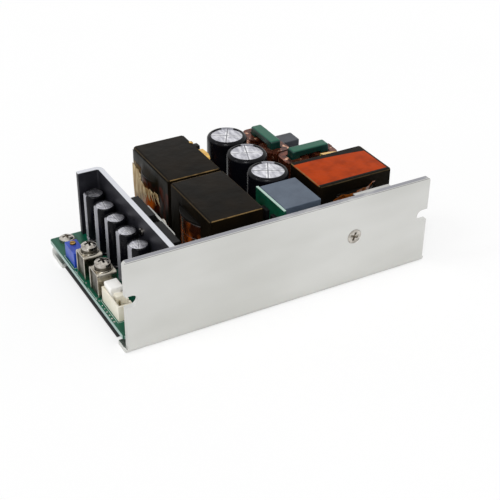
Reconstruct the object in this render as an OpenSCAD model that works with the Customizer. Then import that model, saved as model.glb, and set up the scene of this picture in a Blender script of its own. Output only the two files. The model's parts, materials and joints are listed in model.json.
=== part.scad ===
// Open frame power supply on an L-shaped chassis.
// Lengths run from the near left corner of the chassis: X to the right along the side wall,
// Y away from the side wall, Z up from the underside. place() moves the whole supply so that
// the middle of its base is the origin.

/* [Chassis] */
// Height of the side wall above the underside
wall_height = 37.9; // [34:0.1:45]
// Distance from the input connector to the right end
input_end_margin = 2.2; // [1:0.1:6]
// Distance from the tallest parts to the open side
open_side_margin = 1.6; // [0.4:0.1:6]
// How far the side wall's ends stand back from the base's ends
wall_end_inset = 0.6; // [0.1:0.1:1]
// Distance of the fixing holes from the edges
hole_inset = 5.715; // [5.4:0.005:6]
// Diameter of the holes in the base
base_hole_diameter = 3.4; // [3.2:0.1:4]
// Thickness of the folded sheet
sheet_thickness = 2; // [1.2:0.1:2.5]
// Inside radius of the fold
fold_radius = 0.4; // [0.3:0.1:1]
// Radius of the side wall's top corners
wall_corner_radius = 1.4; // [0.5:0.1:3]
// Depth of the cut-out in each end of the base
base_notch_depth = 9; // [4:0.5:12]
// Width of the ear beside the side wall
near_ear_width = 7.2; // [6:0.1:9]
// Width of the ear at the open side
far_ear_width = 14.4; // [10:0.1:18]
// Radius of the open side's corners
ear_corner_radius = 4.4; // [1:0.1:5]
// Width of the slots in the ends of the side wall
wall_slot_width = 4.5; // [3.2:0.1:5.5]
// Depth of those slots
wall_slot_depth = 5.2; // [4:0.1:9]
// Height of their centre line
wall_slot_height = 22; // [14:0.1:28]

/* [Main board] */
// Thickness of the laminate
board_thickness = 1.6; // [1:0.1:2]
// Length of the spacers between base and board
spacer_length = 3; // [2:0.1:5]
// Diameter of the spacers
spacer_diameter = 5.6; // [5:0.1:7]
// Distance from the side wall to the board
board_wall_gap = 0.6; // [0.3:0.1:1.5]
// Distance of the board's far edge from the open side
board_far_inset = 2; // [0:0.1:4]
// Thickness of the insulating sheet
film_thickness = 0.4; // [0.2:0.05:0.6]
// How far the sheet's free end hangs down over the cut-out
film_droop = 0.4; // [0:0.1:1.9]

/* [Screws] */
// Thread diameter of every machine screw
screw_diameter = 3; // [2.5:0.5:3.5]
// Diameter of the pan heads
pan_head_diameter = 5.8; // [5:0.1:7]
// Height of the pan heads
pan_head_height = 2.1; // [1.6:0.1:2.6]
// Radial gap between a screw and its tapped hole
thread_gap = 0.05; // [0.02:0.01:0.1]
// Radial gap between a screw and a clear hole
clear_gap = 0.1; // [0.1:0.05:0.4]

/* [Output end] */
// Distance from the chassis end to the screw terminals
terminal_inset = 1.3; // [0.8:0.1:2]
// Length of a screw terminal along X
terminal_length = 7.7; // [7:0.1:8.5]
// Width of a screw terminal along Y
terminal_width = 8; // [7.5:0.1:9]
// Height of a screw terminal above the board
terminal_height = 10; // [8:0.1:12]
// Thickness of the terminal strip
terminal_strip = 0.8; // [0.6:0.1:1]
// Gap between the output connector and the nearer terminal
connector_terminal_gap = 1.6; // [0.5:0.1:3]
// Distance between the two terminals
terminal_pitch = 12.9; // [11:0.1:13.2]
// Outer diameter of the lock washers
lock_washer_diameter = 6.2; // [5.8:0.1:7]
// Thickness of the lock washers
lock_washer_thickness = 0.9; // [0.6:0.1:1.2]
// Outer diameter of the flat washers
flat_washer_diameter = 7.2; // [7:0.1:7.6]
// Thickness of the flat washers
flat_washer_thickness = 0.5; // [0.4:0.1:0.8]
// Diameter of the output capacitors
output_cap_diameter = 8; // [6.3:0.1:8.2]
// Height of the output capacitors
output_cap_height = 20.6; // [16:0.1:25]
// Middle of the nearest output capacitor from the side wall's outer face
output_cap_start = 24.7; // [22:0.1:26]
// Distance between the output capacitors
output_cap_pitch = 10.38; // [9:0.01:10.8]
// Number of output capacitors
output_cap_count = 5; // [5]

/* [Output heat sink] */
// Height of the heat sink above the board
heat_sink_height = 27.5; // [24:0.1:31]
// Thickness of its plate
heat_sink_thickness = 2; // [1.5:0.1:2.5]
// Length of its return flange
heat_sink_return = 10.3; // [6:0.1:10.6]
// Inside radius of its bend
heat_sink_bend = 0.8; // [0.5:0.1:1.5]
// Gap between the heat sink and the output capacitors
heat_sink_gap = 0.3; // [0.2:0.1:0.6]
// Thickness of the power packages
package_thickness = 4.8; // [4:0.1:5.2]
// Width of the power packages
package_width = 15.6; // [14:0.1:16]
// Height of the power packages
package_height = 20; // [18:0.1:21]
// Height of the clip screw above the board
clip_screw_height = 20.8; // [18:0.1:22]

/* [Transformers] */
// Length of each ferrite core across its two outer legs
core_length = 31.6; // [30:0.1:33]
// Width of each core
core_width = 21.9; // [20:0.1:23]
// Height of each core
core_height = 30.3; // [26:0.1:32]
// Thickness of a core's top and bottom plates
core_back = 4.6; // [4:0.1:5.5]
// Diameter of a core's centre post
core_post_diameter = 13.4; // [11:0.1:14]
// Diameter of a core's winding space
core_window_diameter = 27.5; // [26:0.1:28]
// Outer diameter of the windings
winding_diameter = 26.4; // [24:0.1:26.8]
// Height of the bobbin's feet under a core
bobbin_stand = 1.2; // [0.8:0.1:2]
// Wall thickness of the bobbins
bobbin_wall = 0.9; // [0.7:0.1:1.2]
// Thickness of the tape bands
tape_thickness = 0.12; // [0.1:0.01:0.2]
// Distance from the side wall to the nearer transformer
near_core_gap = 7.5; // [6:0.1:9]
// Distance between the two transformers
core_gap = 1.9; // [1:0.1:2.5]

/* [Input side] */
// Diameter of the bulk capacitors
bulk_cap_diameter = 16; // [14:0.1:16.4]
// Height of the bulk capacitors
bulk_cap_height = 31.6; // [25:0.1:36]
// Gap between neighbouring bulk capacitors
bulk_cap_gap = 0.55; // [0.3:0.05:0.8]
// Thickness of the upright control board
control_board_thickness = 1; // [0.8:0.1:1.2]
// Height of the upright control board
control_board_height = 31.2; // [25:0.1:33]
// Length of the boxed film capacitor along X
film_cap_length = 15.3; // [13:0.1:16]
// Width of the boxed film capacitor along Y
film_cap_width = 18.6; // [16:0.1:19]
// Height of the boxed film capacitor
film_cap_height = 31.1; // [24:0.1:32]
// Length of the line chokes' cores
choke_core_length = 16.8; // [15:0.1:17.2]
// Thickness of the line chokes' cores
choke_core_thickness = 4.6; // [3.5:0.1:5]
// Height of the line chokes above the board
choke_height = 29.6; // [26:0.1:32]
// Reach of each choke coil from its core leg, along the core
choke_coil_reach = 5.2; // [4.8:0.1:6.2]
// Reach of each choke coil across the core
choke_coil_depth = 5.4; // [4:0.1:5.6]
// Number of turns on each choke coil
choke_turns = 15; // [8:1:18]
// Length of the line filter capacitor along X
x_cap_length = 10.7; // [10:0.1:12.6]
// Width of the line filter capacitor along Y
x_cap_width = 7.3; // [6:0.1:8]
// Height of the line filter capacitor
x_cap_height = 22.6; // [15:0.1:24]

/* [Clamp on the side wall] */
// Middle of the clamp screw from the left end
clamp_screw_x = 93.1; // [90:0.1:96]
// Height of the clamp screw
clamp_screw_height = 21.4; // [19:0.1:25]
// Thickness of the clamp plate
clamp_plate_thickness = 1.8; // [1:0.1:2.5]
// Length of the clamp plate
clamp_plate_length = 23; // [20:0.5:24]
// Thickness of the bridge rectifier
bridge_thickness = 3.4; // [3:0.1:3.8]

/* [Hidden] */
$fn = 48;
OVER = 1; // how far a cutter runs past the face it cuts

// Levels
board_bottom = sheet_thickness + spacer_length;
board_top = board_bottom + board_thickness;
fold_outer = fold_radius + sheet_thickness;

notch_corner_radius = 2;
film_notch_gap = 0.1;

// Screws
thread_radius = screw_diameter / 2;
shank_radius = thread_radius - thread_gap;
clear_radius = shank_radius + clear_gap;
recess_width = 0.9;
recess_span = pan_head_diameter * 0.58;
recess_depth = 1.2;

// Output terminals
terminal_x = terminal_inset + terminal_length / 2;
terminal_bend = 0.5;
terminal_tab_width = 2.4;
terminal_screw_length = 6;

// Output capacitors and heat sink, each placed from the one before it
terminal_cap_gap = 3.7;
output_cap_x = terminal_inset + terminal_length + terminal_cap_gap + output_cap_diameter / 2;
heat_sink_x = output_cap_x + output_cap_diameter / 2 + heat_sink_gap;
heat_sink_near = 5.2;
cap_flange_gap = 1.08;
heat_sink_far = output_cap_start + (output_cap_count - 1) * output_cap_pitch + output_cap_diameter / 2
    + cap_flange_gap + heat_sink_thickness;
package_gap = 5;
package_lift = 5;
clip_y = 31;
clip_thickness = 1;
clip_height = 7;
clip_length = 24;
package_ys = [clip_y - (package_width + package_gap) / 2, clip_y + (package_width + package_gap) / 2];

// Output connector: a five way header with a shorting plug on its far two pins
connector_x = 2;
head_connector_gap = 2.3;
connector_y = hole_inset + pan_head_diameter / 2 + head_connector_gap;
connector_depth = 5.75;
connector_height = 6.2;
connector_wall = 0.8;
connector_floor = 1.8;
pin_pitch = 2.5;
pin_count = 5;
pin_size = 0.64;
pin_inset = 2.45;
connector_length = pin_pitch * (pin_count - 1) + 2 * pin_inset;
pin_rise = 5.4;
plug_ways = 2;
plug_gap = 0.15;
plug_top = 8.8;
plug_length = plug_ways * pin_pitch + 0.7;

terminal_start = connector_y + connector_length + connector_terminal_gap + terminal_width / 2;
terminal_ys = [terminal_start, terminal_start + terminal_pitch];
pin_x = connector_x + connector_depth * 0.47;

// Trimmer
trimmer_x = 1.1;
trimmer_gap = 2;
trimmer_length = 9.5;
trimmer_width = 4.8;
trimmer_height = 6.3;
trimmer_stand = 0.4;
trimmer_screw_radius = 1.15;
trimmer_bore_gap = 0.05;
trimmer_screw_inset = 2.6;
trimmer_screw_rise = 0.7;
trimmer_slot_width = 0.5;
trimmer_slot_depth = 0.6;
trimmer_bore_depth = 2.6;
trimmer_y = terminal_ys[1] + terminal_width / 2 + trimmer_gap;
trimmer_screw_at = [trimmer_x + trimmer_width / 2, trimmer_y + trimmer_length - trimmer_screw_inset];

// Transformers
rectifier_winding_gap = 7.45;
core_x = heat_sink_x + heat_sink_thickness + package_thickness + rectifier_winding_gap
    + winding_diameter / 2;
near_core_y = sheet_thickness + near_core_gap + core_length / 2;
far_core_y = near_core_y + core_length + core_gap;
core_bottom = board_top + bobbin_stand;
window_height = core_height - 2 * core_back;
bobbin_gap = 0.2;
bobbin_rail_height = 4.2;
bobbin_rail_width = 2.6;
tape_margin = 0.8;
tape_corner_radius = 0.25;

// Boost choke, turned a quarter turn and held off the bridge rectifier
bridge_winding_gap = 2.9;
boost_y = sheet_thickness + clamp_plate_thickness + bridge_thickness + bridge_winding_gap
    + winding_diameter / 2;
film_boost_gap = 3.8;

// Control board, film capacitor and bulk capacitors
winding_control_gap = 3.15;
control_x = core_x + winding_diameter / 2 + winding_control_gap;
control_near = 4.6;
control_length = 20.4;
chip_depth = 1.5;
control_film_gap = 0.3;
film_cap_x = control_x + control_board_thickness + control_film_gap;
film_cap_near = 5.9;
control_bulk_gap = 1;
bulk_cap_x = control_x + control_board_thickness + control_bulk_gap + bulk_cap_diameter / 2;
bulk_pitch = bulk_cap_diameter + bulk_cap_gap;
film_bulk_gap = 0.9;
bulk_start = film_cap_near + film_cap_width + film_bulk_gap + bulk_cap_diameter / 2;
boost_x = film_cap_x + film_cap_length + film_boost_gap + core_length / 2;

// Line chokes
choke_base_height = 3;
choke_bar_height = 4.6;
choke_leg_width = 3.6;
choke_edge_radius = 1;
choke_leg_offset = (choke_core_length - choke_leg_width) / 2;
bulk_choke_gap = 3.4;
choke_1_x = bulk_cap_x + bulk_cap_diameter / 2 + bulk_choke_gap + choke_coil_depth;
boost_choke_gap = 4.9;
choke_2_y = boost_y + winding_diameter / 2 + boost_choke_gap + choke_coil_depth;
choke_spacing = 0.3;
choke_1_y = choke_2_y + choke_coil_depth + choke_spacing + choke_coil_reach + choke_leg_offset;
bulk_choke_2_gap = 6.5;
choke_2_x = bulk_cap_x + bulk_cap_diameter / 2 + bulk_choke_2_gap + choke_coil_reach + choke_leg_offset;

// Line filter capacitor
choke_x_cap_gap = 0.6;
x_cap_x = choke_1_x + choke_coil_depth + choke_x_cap_gap;
x_cap_shift = 0.5;
x_cap_near = choke_1_y + x_cap_shift;

// Clamp and bridge rectifier on the side wall
clamp_near = sheet_thickness;
clamp_hole_inset = 6.5;
clamp_left = clamp_screw_x - clamp_hole_inset;
clamp_foot = 13.2;
clamp_top_gap = 0.2;
clamp_step_x = clamp_screw_x + 0.6;
clamp_step_depth = 9;
bridge_near = clamp_near + clamp_plate_thickness;
bridge_height = 17.6;
bridge_hole_height = 6;
bridge_hole_inset = 5;
bridge_lead_inset = 3;
bridge_bottom = clamp_screw_height - bridge_hole_height;
bridge_length = 19;
bridge_lead_count = 4;
bridge_lead_pitch = 4.6;
nut_across_flats = 5.5;
nut_thickness = 2.2;
nut_screw_end = 0.3;
flush_head_diameter = 5.8;
flush_head_depth = 1.6;

// Input end, pushed along by the parts before it
choke_input_gap = 3.5;
input_left = choke_2_x + choke_leg_offset + choke_coil_reach + choke_input_gap;
input_length = 8.4;
input_width = 14;
input_height = 9.4;
input_wall = 1;
input_floor = 2;
input_pitch = 3.96;
fuse_size = [5, 10, 8];
choke_fuse_gap = 1;
fuse_input_gap = 1;
thermistor_diameter = 9;
thermistor_thickness = 3.6;
boost_thermistor_gap = 1.95;
thermistor_y = boost_y + core_width / 2 + boost_thermistor_gap + thermistor_thickness / 2;
y_cap_diameter = 6;
y_cap_thickness = 3;
thermistor_y_cap_gap = 0.9;
y_cap_gap = 0.6;
y_cap_count = 2;
y_cap_pitch = y_cap_thickness + y_cap_gap;
y_cap_start = thermistor_y + thermistor_thickness / 2 + thermistor_y_cap_gap + y_cap_thickness / 2;
y_cap_input_gap = 0.7;
input_near = y_cap_start + (y_cap_count - 1) * y_cap_pitch + y_cap_thickness / 2 + y_cap_input_gap;
lead_radius = 0.3;
lead_length = 2.4;

// Chassis outline round everything that stands on it, and its fixing holes
heat_sink_margin = 1.3;
chassis_length = input_left + input_length + input_end_margin;
chassis_width = open_side_margin + max(far_core_y + core_length / 2, heat_sink_far + heat_sink_margin,
    bulk_start + 2 * bulk_pitch + bulk_cap_diameter / 2);
hole_xs = [hole_inset, chassis_length - hole_inset];
hole_ys = [hole_inset, chassis_width - hole_inset];
board_near = sheet_thickness + board_wall_gap;
board_far = chassis_width - board_far_inset;
board_corner_radius = 1;
spacer_film_gap = 0.6;

// ---------- helpers ----------

module place() translate([-chassis_length / 2, -chassis_width / 2, 0]) children();

// Centred rectangle with round corners
module rounded_rect(size, r) {
    square([size[0] - 2 * r, size[1]], center = true);
    square([size[0], size[1] - 2 * r], center = true);
    for (sx = [-1, 1], sy = [-1, 1])
        translate([sx * (size[0] / 2 - r), sy * (size[1] / 2 - r)]) circle(r);
}

// Upright block with round vertical edges, its low corner at the origin
module block(size, r) {
    translate([size[0] / 2, size[1] / 2, 0])
        linear_extrude(size[2]) rounded_rect([size[0], size[1]], r);
}

// Cross recess cut down from z = 0
module cross_recess() {
    for (turn = [0, 90]) rotate(turn)
        translate([-recess_span / 2, -recess_width / 2, -recess_depth])
            cube([recess_span, recess_width, recess_depth + OVER]);
}

// Pan head screw whose head sits on z = 0, with its shank below
module pan_screw(length) {
    difference() {
        rotate_extrude() {
            square([shank_radius, pan_head_height / 2]);
            translate([0, -length]) square([shank_radius, length + pan_head_height / 2]);
            square([pan_head_diameter / 2, pan_head_height * 0.55]);
            intersection() {
                translate([0, pan_head_height - pan_head_diameter * 0.75])
                    circle(pan_head_diameter * 0.75);
                square([pan_head_diameter / 2, pan_head_height]);
            }
        }
        translate([0, 0, pan_head_height]) cross_recess();
    }
}

// Two flat bars joined by a quarter bend: the section of a folded sheet
module angle_section(width, height, thickness, inner_radius) {
    outer = inner_radius + thickness;
    translate([outer, 0]) square([width - outer, thickness]);
    translate([0, outer]) square([thickness, height - outer]);
    intersection() {
        translate([outer, outer]) difference() {
            circle(outer);
            circle(inner_radius);
        }
        square([outer, outer]);
    }
}

// Run a section drawn in Y and Z along X
module along_x(length) rotate([90, 0, 90]) linear_extrude(length) children();

module at_fixing_holes() {
    for (x = hole_xs, y = hole_ys) translate([x, y, 0]) children();
}

// ---------- chassis ----------

module end_slot() {
    reach = wall_slot_depth - wall_slot_width / 2;
    translate([reach, 0, wall_slot_height]) rotate([90, 0, 0]) {
        cylinder(r = wall_slot_width / 2, h = 4 * sheet_thickness, center = true);
        translate([-(reach + OVER), -wall_slot_width / 2, -2 * sheet_thickness])
            cube([reach + OVER, wall_slot_width, 4 * sheet_thickness]);
    }
}

module wall_corner_cut() {
    r = wall_corner_radius;
    translate([wall_end_inset, 0, wall_height]) rotate([90, 0, 0])
        linear_extrude(4 * sheet_thickness, center = true)
        difference() {
            translate([-OVER, -r]) square([r + OVER, r + OVER]);
            translate([r, -r]) circle(r);
        }
}

module far_corner_cut() {
    r = ear_corner_radius;
    translate([0, chassis_width, -OVER]) linear_extrude(sheet_thickness + 2 * OVER) difference() {
        translate([-OVER, -r]) square([r + OVER, r + OVER]);
        translate([r, -r]) circle(r);
    }
}

module base_notch() {
    width = chassis_width - near_ear_width - far_ear_width;
    translate([-2 * base_notch_depth, near_ear_width, -OVER])
        block([3 * base_notch_depth, width, sheet_thickness + 2 * OVER], notch_corner_radius);
}

// Sets the side wall's end back from the base's end, above the fold
module wall_end_cut() {
    translate([-OVER, -OVER, fold_outer])
        cube([wall_end_inset + OVER, sheet_thickness + 2 * OVER, wall_height]);
}

module one_end_cuts() {
    end_slot();
    wall_end_cut();
    wall_corner_cut();
    far_corner_cut();
    base_notch();
}

module chassis() {
    color([0.82, 0.82, 0.81]) place() difference() {
        along_x(chassis_length)
            angle_section(chassis_width, wall_height, sheet_thickness, fold_radius);
        one_end_cuts();
        translate([chassis_length, 0, 0]) mirror([1, 0, 0]) one_end_cuts();
        at_fixing_holes() translate([0, 0, -OVER])
            cylinder(d = base_hole_diameter, h = sheet_thickness + 2 * OVER);
        translate([clamp_screw_x, 0, clamp_screw_height]) rotate([-90, 0, 0]) {
            translate([0, 0, -OVER]) cylinder(r = clear_radius, h = sheet_thickness + 2 * OVER);
            cylinder(r1 = flush_head_diameter / 2 + clear_gap, r2 = clear_radius, h = flush_head_depth);
        }
    }
}

// Height of the film's free end as it hangs over the cut-out, u from 0 at the base to 1
function film_drop(u) = -film_droop * u * u * (3 - 2 * u);

module insulating_sheet() {
    steps = 12;
    inner = base_notch_depth;
    free = inner - 0.3;
    upper = [for (i = [0:steps]) [inner - free * i / steps, film_drop(i / steps)]];
    lower = [for (i = [steps:-1:0]) [inner - free * i / steps, film_drop(i / steps) + film_thickness]];
    tongue_near = near_ear_width + notch_corner_radius + film_notch_gap;
    tongue_far = chassis_width - far_ear_width - notch_corner_radius - film_notch_gap;
    film_near = sheet_thickness + fold_radius + 0.2;
    film_far = board_far - 0.4;
    color([0.05, 0.05, 0.05]) place() translate([0, 0, sheet_thickness]) difference() {
        union() {
            translate([inner, film_near, 0])
                cube([chassis_length - 2 * inner, film_far - film_near, film_thickness]);
            for (side = [0, 1]) translate([side * chassis_length, 0, 0]) mirror([side, 0, 0])
                translate([0, tongue_far, 0]) rotate([90, 0, 0])
                    linear_extrude(tongue_far - tongue_near) polygon(concat(upper, lower));
        }
        at_fixing_holes() translate([0, 0, -OVER])
            cylinder(d = spacer_diameter + 2 * spacer_film_gap, h = film_thickness + 2 * OVER);
    }
}

module board_spacers() {
    color([0.75, 0.75, 0.72]) place() at_fixing_holes() translate([0, 0, sheet_thickness])
        difference() {
            cylinder(d = spacer_diameter, h = spacer_length);
            translate([0, 0, -OVER]) cylinder(r = thread_radius, h = spacer_length + 2 * OVER);
        }
}

// ---------- main board ----------

module main_board() {
    size = [chassis_length, board_far - board_near];
    color([0, 0.36, 0.24]) place() difference() {
        translate([0, board_near, board_bottom])
            block([size[0], size[1], board_thickness], board_corner_radius);
        at_fixing_holes() translate([0, 0, board_bottom - OVER])
            cylinder(r = clear_radius, h = board_thickness + 2 * OVER);
        for (y = terminal_ys, side = [-1, 1])
            translate([terminal_x, y + side * (terminal_width - terminal_strip) / 2, board_bottom - OVER])
                linear_extrude(board_thickness + 2 * OVER)
                    square([terminal_tab_width + 2 * clear_gap, terminal_strip + 2 * clear_gap], center = true);
    }
}

module board_screws() {
    reach = board_top - sheet_thickness - 0.3;
    color([0.78, 0.76, 0.72]) place() at_fixing_holes() translate([0, 0, board_top]) pan_screw(reach);
}

// ---------- output end ----------

module output_heat_sink() {
    color([0.8, 0.8, 0.8]) place() difference() {
        translate([heat_sink_x + heat_sink_thickness, heat_sink_far, board_top]) rotate(180)
            linear_extrude(heat_sink_height)
                angle_section(heat_sink_return, heat_sink_far - heat_sink_near, heat_sink_thickness, heat_sink_bend);
        at_clip_screw() translate([0, 0, -heat_sink_thickness - OVER])
            cylinder(r = thread_radius, h = heat_sink_thickness + 2 * OVER);
    }
}

// Move to the clip screw, its axis along X, with z = 0 on the heat sink's right face
module at_clip_screw() {
    translate([heat_sink_x + heat_sink_thickness, clip_y, board_top + clip_screw_height])
        rotate([0, 90, 0]) children();
}

// Moulded power packages flat on the heat sink, each with three leads down to the board
module output_rectifiers() {
    notch = 1.8;
    lead = [0.6, 1.2];
    lead_pitch = 5.45;
    place() for (y = package_ys) translate([heat_sink_x + heat_sink_thickness, y, board_top]) {
        color([0.12, 0.12, 0.12]) translate([0, 0, package_lift]) difference() {
            translate([0, -package_width / 2, 0]) cube([package_thickness, package_width, package_height]);
            for (side = [-1, 1]) translate([-OVER, side * package_width / 2, package_height * 0.72])
                rotate([0, 90, 0]) cylinder(r = notch, h = package_thickness + 2 * OVER);
        }
        color([0.7, 0.7, 0.68]) for (i = [-1, 0, 1])
            translate([package_thickness / 2, i * lead_pitch - lead[1] / 2, 0]) cube([lead[0], lead[1], package_lift]);
    }
}

// Clip bar pressed across both packages
module rectifier_clip() {
    color([0.7, 0.7, 0.68]) place() at_clip_screw() translate([0, 0, package_thickness]) difference() {
        linear_extrude(clip_thickness) rounded_rect([clip_height, clip_length], 1.5);
        translate([0, 0, -OVER]) cylinder(r = clear_radius, h = clip_thickness + 2 * OVER);
    }
}

module clip_screw() {
    head_seat = package_thickness + clip_thickness;
    color([0.78, 0.76, 0.72]) place() at_clip_screw() translate([0, 0, head_seat])
        pan_screw(head_seat + heat_sink_thickness + 0.6);
}

// Radial electrolytic capacitor: crimped can, sleeve shoulder and scored top
module can_capacitor(diameter, height, groove_count) {
    r = diameter / 2;
    shoulder = diameter * 0.055;
    top_radius = r * 0.77;
    crimp = diameter * 0.2;
    score_width = 0.3;
    difference() {
        rotate_extrude() difference() {
            union() {
                square([r - shoulder, height]);
                square([r, height - shoulder]);
                translate([r - shoulder, height - shoulder]) circle(shoulder);
            }
            translate([0, height - 0.35]) square([top_radius, 1]);
            translate([r + crimp * 0.3, crimp]) circle(crimp * 0.42);
        }
        for (i = [0:groove_count - 1]) rotate(i * 180 / groove_count)
            translate([-top_radius * 0.82, -score_width / 2, height - 0.6])
                cube([top_radius * 1.64, score_width, 1]);
    }
}

module output_capacitor(i) {
    color([0.1, 0.1, 0.12]) place()
        translate([output_cap_x, output_cap_start + i * output_cap_pitch, board_top])
            can_capacitor(output_cap_diameter, output_cap_height, 2);
}

// Inverted U of strip: top plate with the tapped hole, two legs with solder tabs
module terminal(i) {
    y = terminal_ys[i];
    outer = terminal_bend + terminal_strip;
    half = terminal_width / 2;
    color([0.76, 0.74, 0.68]) place() difference() {
        union() {
            translate([terminal_inset, y, board_top]) along_x(terminal_length) {
                for (side = [0, 1]) mirror([side, 0]) translate([-half, terminal_height]) mirror([0, 1])
                    angle_section(half, terminal_height, terminal_strip, terminal_bend);
            }
            for (side = [-1, 1])
                translate([terminal_x, y + side * (terminal_width - terminal_strip) / 2, board_bottom - 0.8])
                    linear_extrude(board_top - board_bottom + 0.8 + 0.2)
                        square([terminal_tab_width, terminal_strip], center = true);
        }
        translate([terminal_x, y, board_top + terminal_height - outer])
            cylinder(r = thread_radius, h = outer + OVER);
    }
}

module at_terminals(above) {
    for (y = terminal_ys) translate([terminal_x, y, board_top + terminal_height + above]) children();
}

module ring(outer_diameter, thickness) {
    difference() {
        cylinder(d = outer_diameter, h = thickness);
        translate([0, 0, -OVER]) cylinder(r = clear_radius, h = thickness + 2 * OVER);
    }
}

module flat_washers() {
    color([0.74, 0.72, 0.67]) place() at_terminals(0) ring(flat_washer_diameter, flat_washer_thickness);
}

// Split spring washer: one ring with a slanted gap
module lock_washers() {
    color([0.7, 0.68, 0.64]) place() at_terminals(flat_washer_thickness) difference() {
        ring(lock_washer_diameter, lock_washer_thickness);
        rotate([0, 0, 200]) translate([0, -0.25, -OVER]) rotate([20, 0, 0])
            cube([lock_washer_diameter, 0.5, lock_washer_thickness + 2 * OVER]);
    }
}

module terminal_screws() {
    color([0.78, 0.75, 0.7]) place()
        at_terminals(flat_washer_thickness + lock_washer_thickness) pan_screw(terminal_screw_length);
}

function pin_y(i) = connector_y + pin_inset + i * pin_pitch;
module output_connector() {
    inner = [connector_depth - 2 * connector_wall, connector_length - 2 * connector_wall];
    color([0.9, 0.89, 0.84]) place() difference() {
        translate([connector_x, connector_y, board_top])
            block([connector_depth, connector_length, connector_height], 0.3);
        translate([connector_x + connector_wall, connector_y + connector_wall, board_top + connector_floor])
            block([inner[0], inner[1], connector_height], 0.25);
        for (y = [connector_y + 2.4, connector_y + connector_length - 3.4])
            translate([connector_x + connector_depth - connector_wall - 0.5, y, board_top + connector_floor + 0.6])
                cube([connector_wall + 1, 1, connector_height]);
        for (i = [0:pin_count - 1]) translate([pin_x, pin_y(i), board_top - OVER])
            linear_extrude(connector_floor + 2 * OVER) square(pin_size + 0.04, center = true);
    }
}

module connector_pins() {
    color([0.78, 0.74, 0.62]) place() for (i = [0:pin_count - 1])
        translate([pin_x, pin_y(i), board_top]) linear_extrude(pin_rise) square(pin_size, center = true);
}

module shorting_plug() {
    near = connector_y + connector_length - connector_wall - plug_gap - plug_length;
    left = connector_x + connector_wall + plug_gap;
    base = board_top + connector_floor + plug_gap;
    width = connector_depth - 2 * connector_wall - 2 * plug_gap;
    color([0.93, 0.92, 0.9]) place() difference() {
        translate([left, near, base]) block([width, plug_length, board_top + plug_top - base], 0.3);
        for (i = [pin_count - plug_ways:pin_count - 1]) translate([pin_x, pin_y(i), base - OVER])
            linear_extrude(pin_rise + plug_gap) square(pin_size + 2 * plug_gap, center = true);
    }
}

// ---------- trimmer ----------

module trimmer_body() {
    foot = 1;
    color([0.1, 0.25, 0.65]) place() difference() {
        union() {
            translate([trimmer_x, trimmer_y, board_top + trimmer_stand])
                block([trimmer_width, trimmer_length, trimmer_height - trimmer_stand], 0.25);
            for (x = [0, trimmer_width - foot], y = [0, trimmer_length - foot])
                translate([trimmer_x + x, trimmer_y + y, board_top]) cube([foot, foot, trimmer_stand + 0.2]);
        }
        translate([trimmer_screw_at[0], trimmer_screw_at[1], board_top + trimmer_height - trimmer_bore_depth])
            cylinder(r = trimmer_screw_radius + trimmer_bore_gap, h = trimmer_bore_depth + OVER);
    }
}

module trimmer_screw() {
    length = trimmer_bore_depth - 0.1 + trimmer_screw_rise;
    color([0.78, 0.66, 0.4]) place()
        translate([trimmer_screw_at[0], trimmer_screw_at[1], board_top + trimmer_height + trimmer_screw_rise - length])
            difference() {
                cylinder(r = trimmer_screw_radius, h = length);
                translate([-trimmer_screw_radius - OVER, -trimmer_slot_width / 2, length - trimmer_slot_depth])
                    cube([2 * trimmer_screw_radius + 2 * OVER, trimmer_slot_width, trimmer_slot_depth + OVER]);
            }
}

// ---------- wound parts on ferrite cores ----------

// Move to a wound part: 0 the main transformer, 1 the resonant choke, 2 the boost choke
module at_core(which) {
    spots = [[core_x, far_core_y], [core_x, near_core_y], [boost_x, boost_y]];
    translate([spots[which][0], spots[which][1], core_bottom]) rotate(which == 2 ? 0 : 90) children();
}

// Round post and two outer legs between two flat backs, its long side on X
module ferrite_core(which) {
    color([0.16, 0.15, 0.15]) place() at_core(which) difference() {
        translate([-core_length / 2, -core_width / 2, 0]) block([core_length, core_width, core_height], 0.5);
        translate([0, 0, core_back]) difference() {
            cylinder(d = core_window_diameter, h = window_height);
            translate([0, 0, -OVER]) cylinder(d = core_post_diameter, h = window_height + 2 * OVER);
        }
    }
}

// Spool round the centre post, with flanges, pin rails and the feet that lift the core
module bobbin(which) {
    barrel = core_post_diameter + 2 * bobbin_gap;
    flange = core_window_diameter - 2 * bobbin_gap;
    height = window_height - 2 * bobbin_gap;
    rail_y = core_width / 2 + bobbin_gap;
    rail_length = core_length * 0.78;
    color([0.1, 0.1, 0.1]) place() at_core(which) {
        translate([0, 0, core_back + bobbin_gap]) difference() {
            union() {
                cylinder(d = flange, h = bobbin_wall);
                cylinder(d = barrel + 2 * bobbin_wall, h = height);
                translate([0, 0, height - bobbin_wall]) cylinder(d = flange, h = bobbin_wall);
            }
            translate([0, 0, -OVER]) cylinder(d = barrel, h = height + 2 * OVER);
        }
        for (side = [0, 1]) mirror([0, side, 0]) {
            translate([-rail_length / 2, rail_y, -bobbin_stand])
                cube([rail_length, bobbin_rail_width, bobbin_rail_height + bobbin_stand]);
            translate([-rail_length * 0.2, rail_y, -bobbin_stand])
                cube([rail_length * 0.4, flange / 2 - rail_y - 0.6, core_back + bobbin_gap + bobbin_stand + 0.3]);
            for (end = [-1, 1]) translate([end * core_length * 0.3 - 1.5, core_width / 2 - tape_margin, -bobbin_stand])
                cube([3, tape_margin + bobbin_gap, bobbin_stand]);
        }
    }
}

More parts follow.
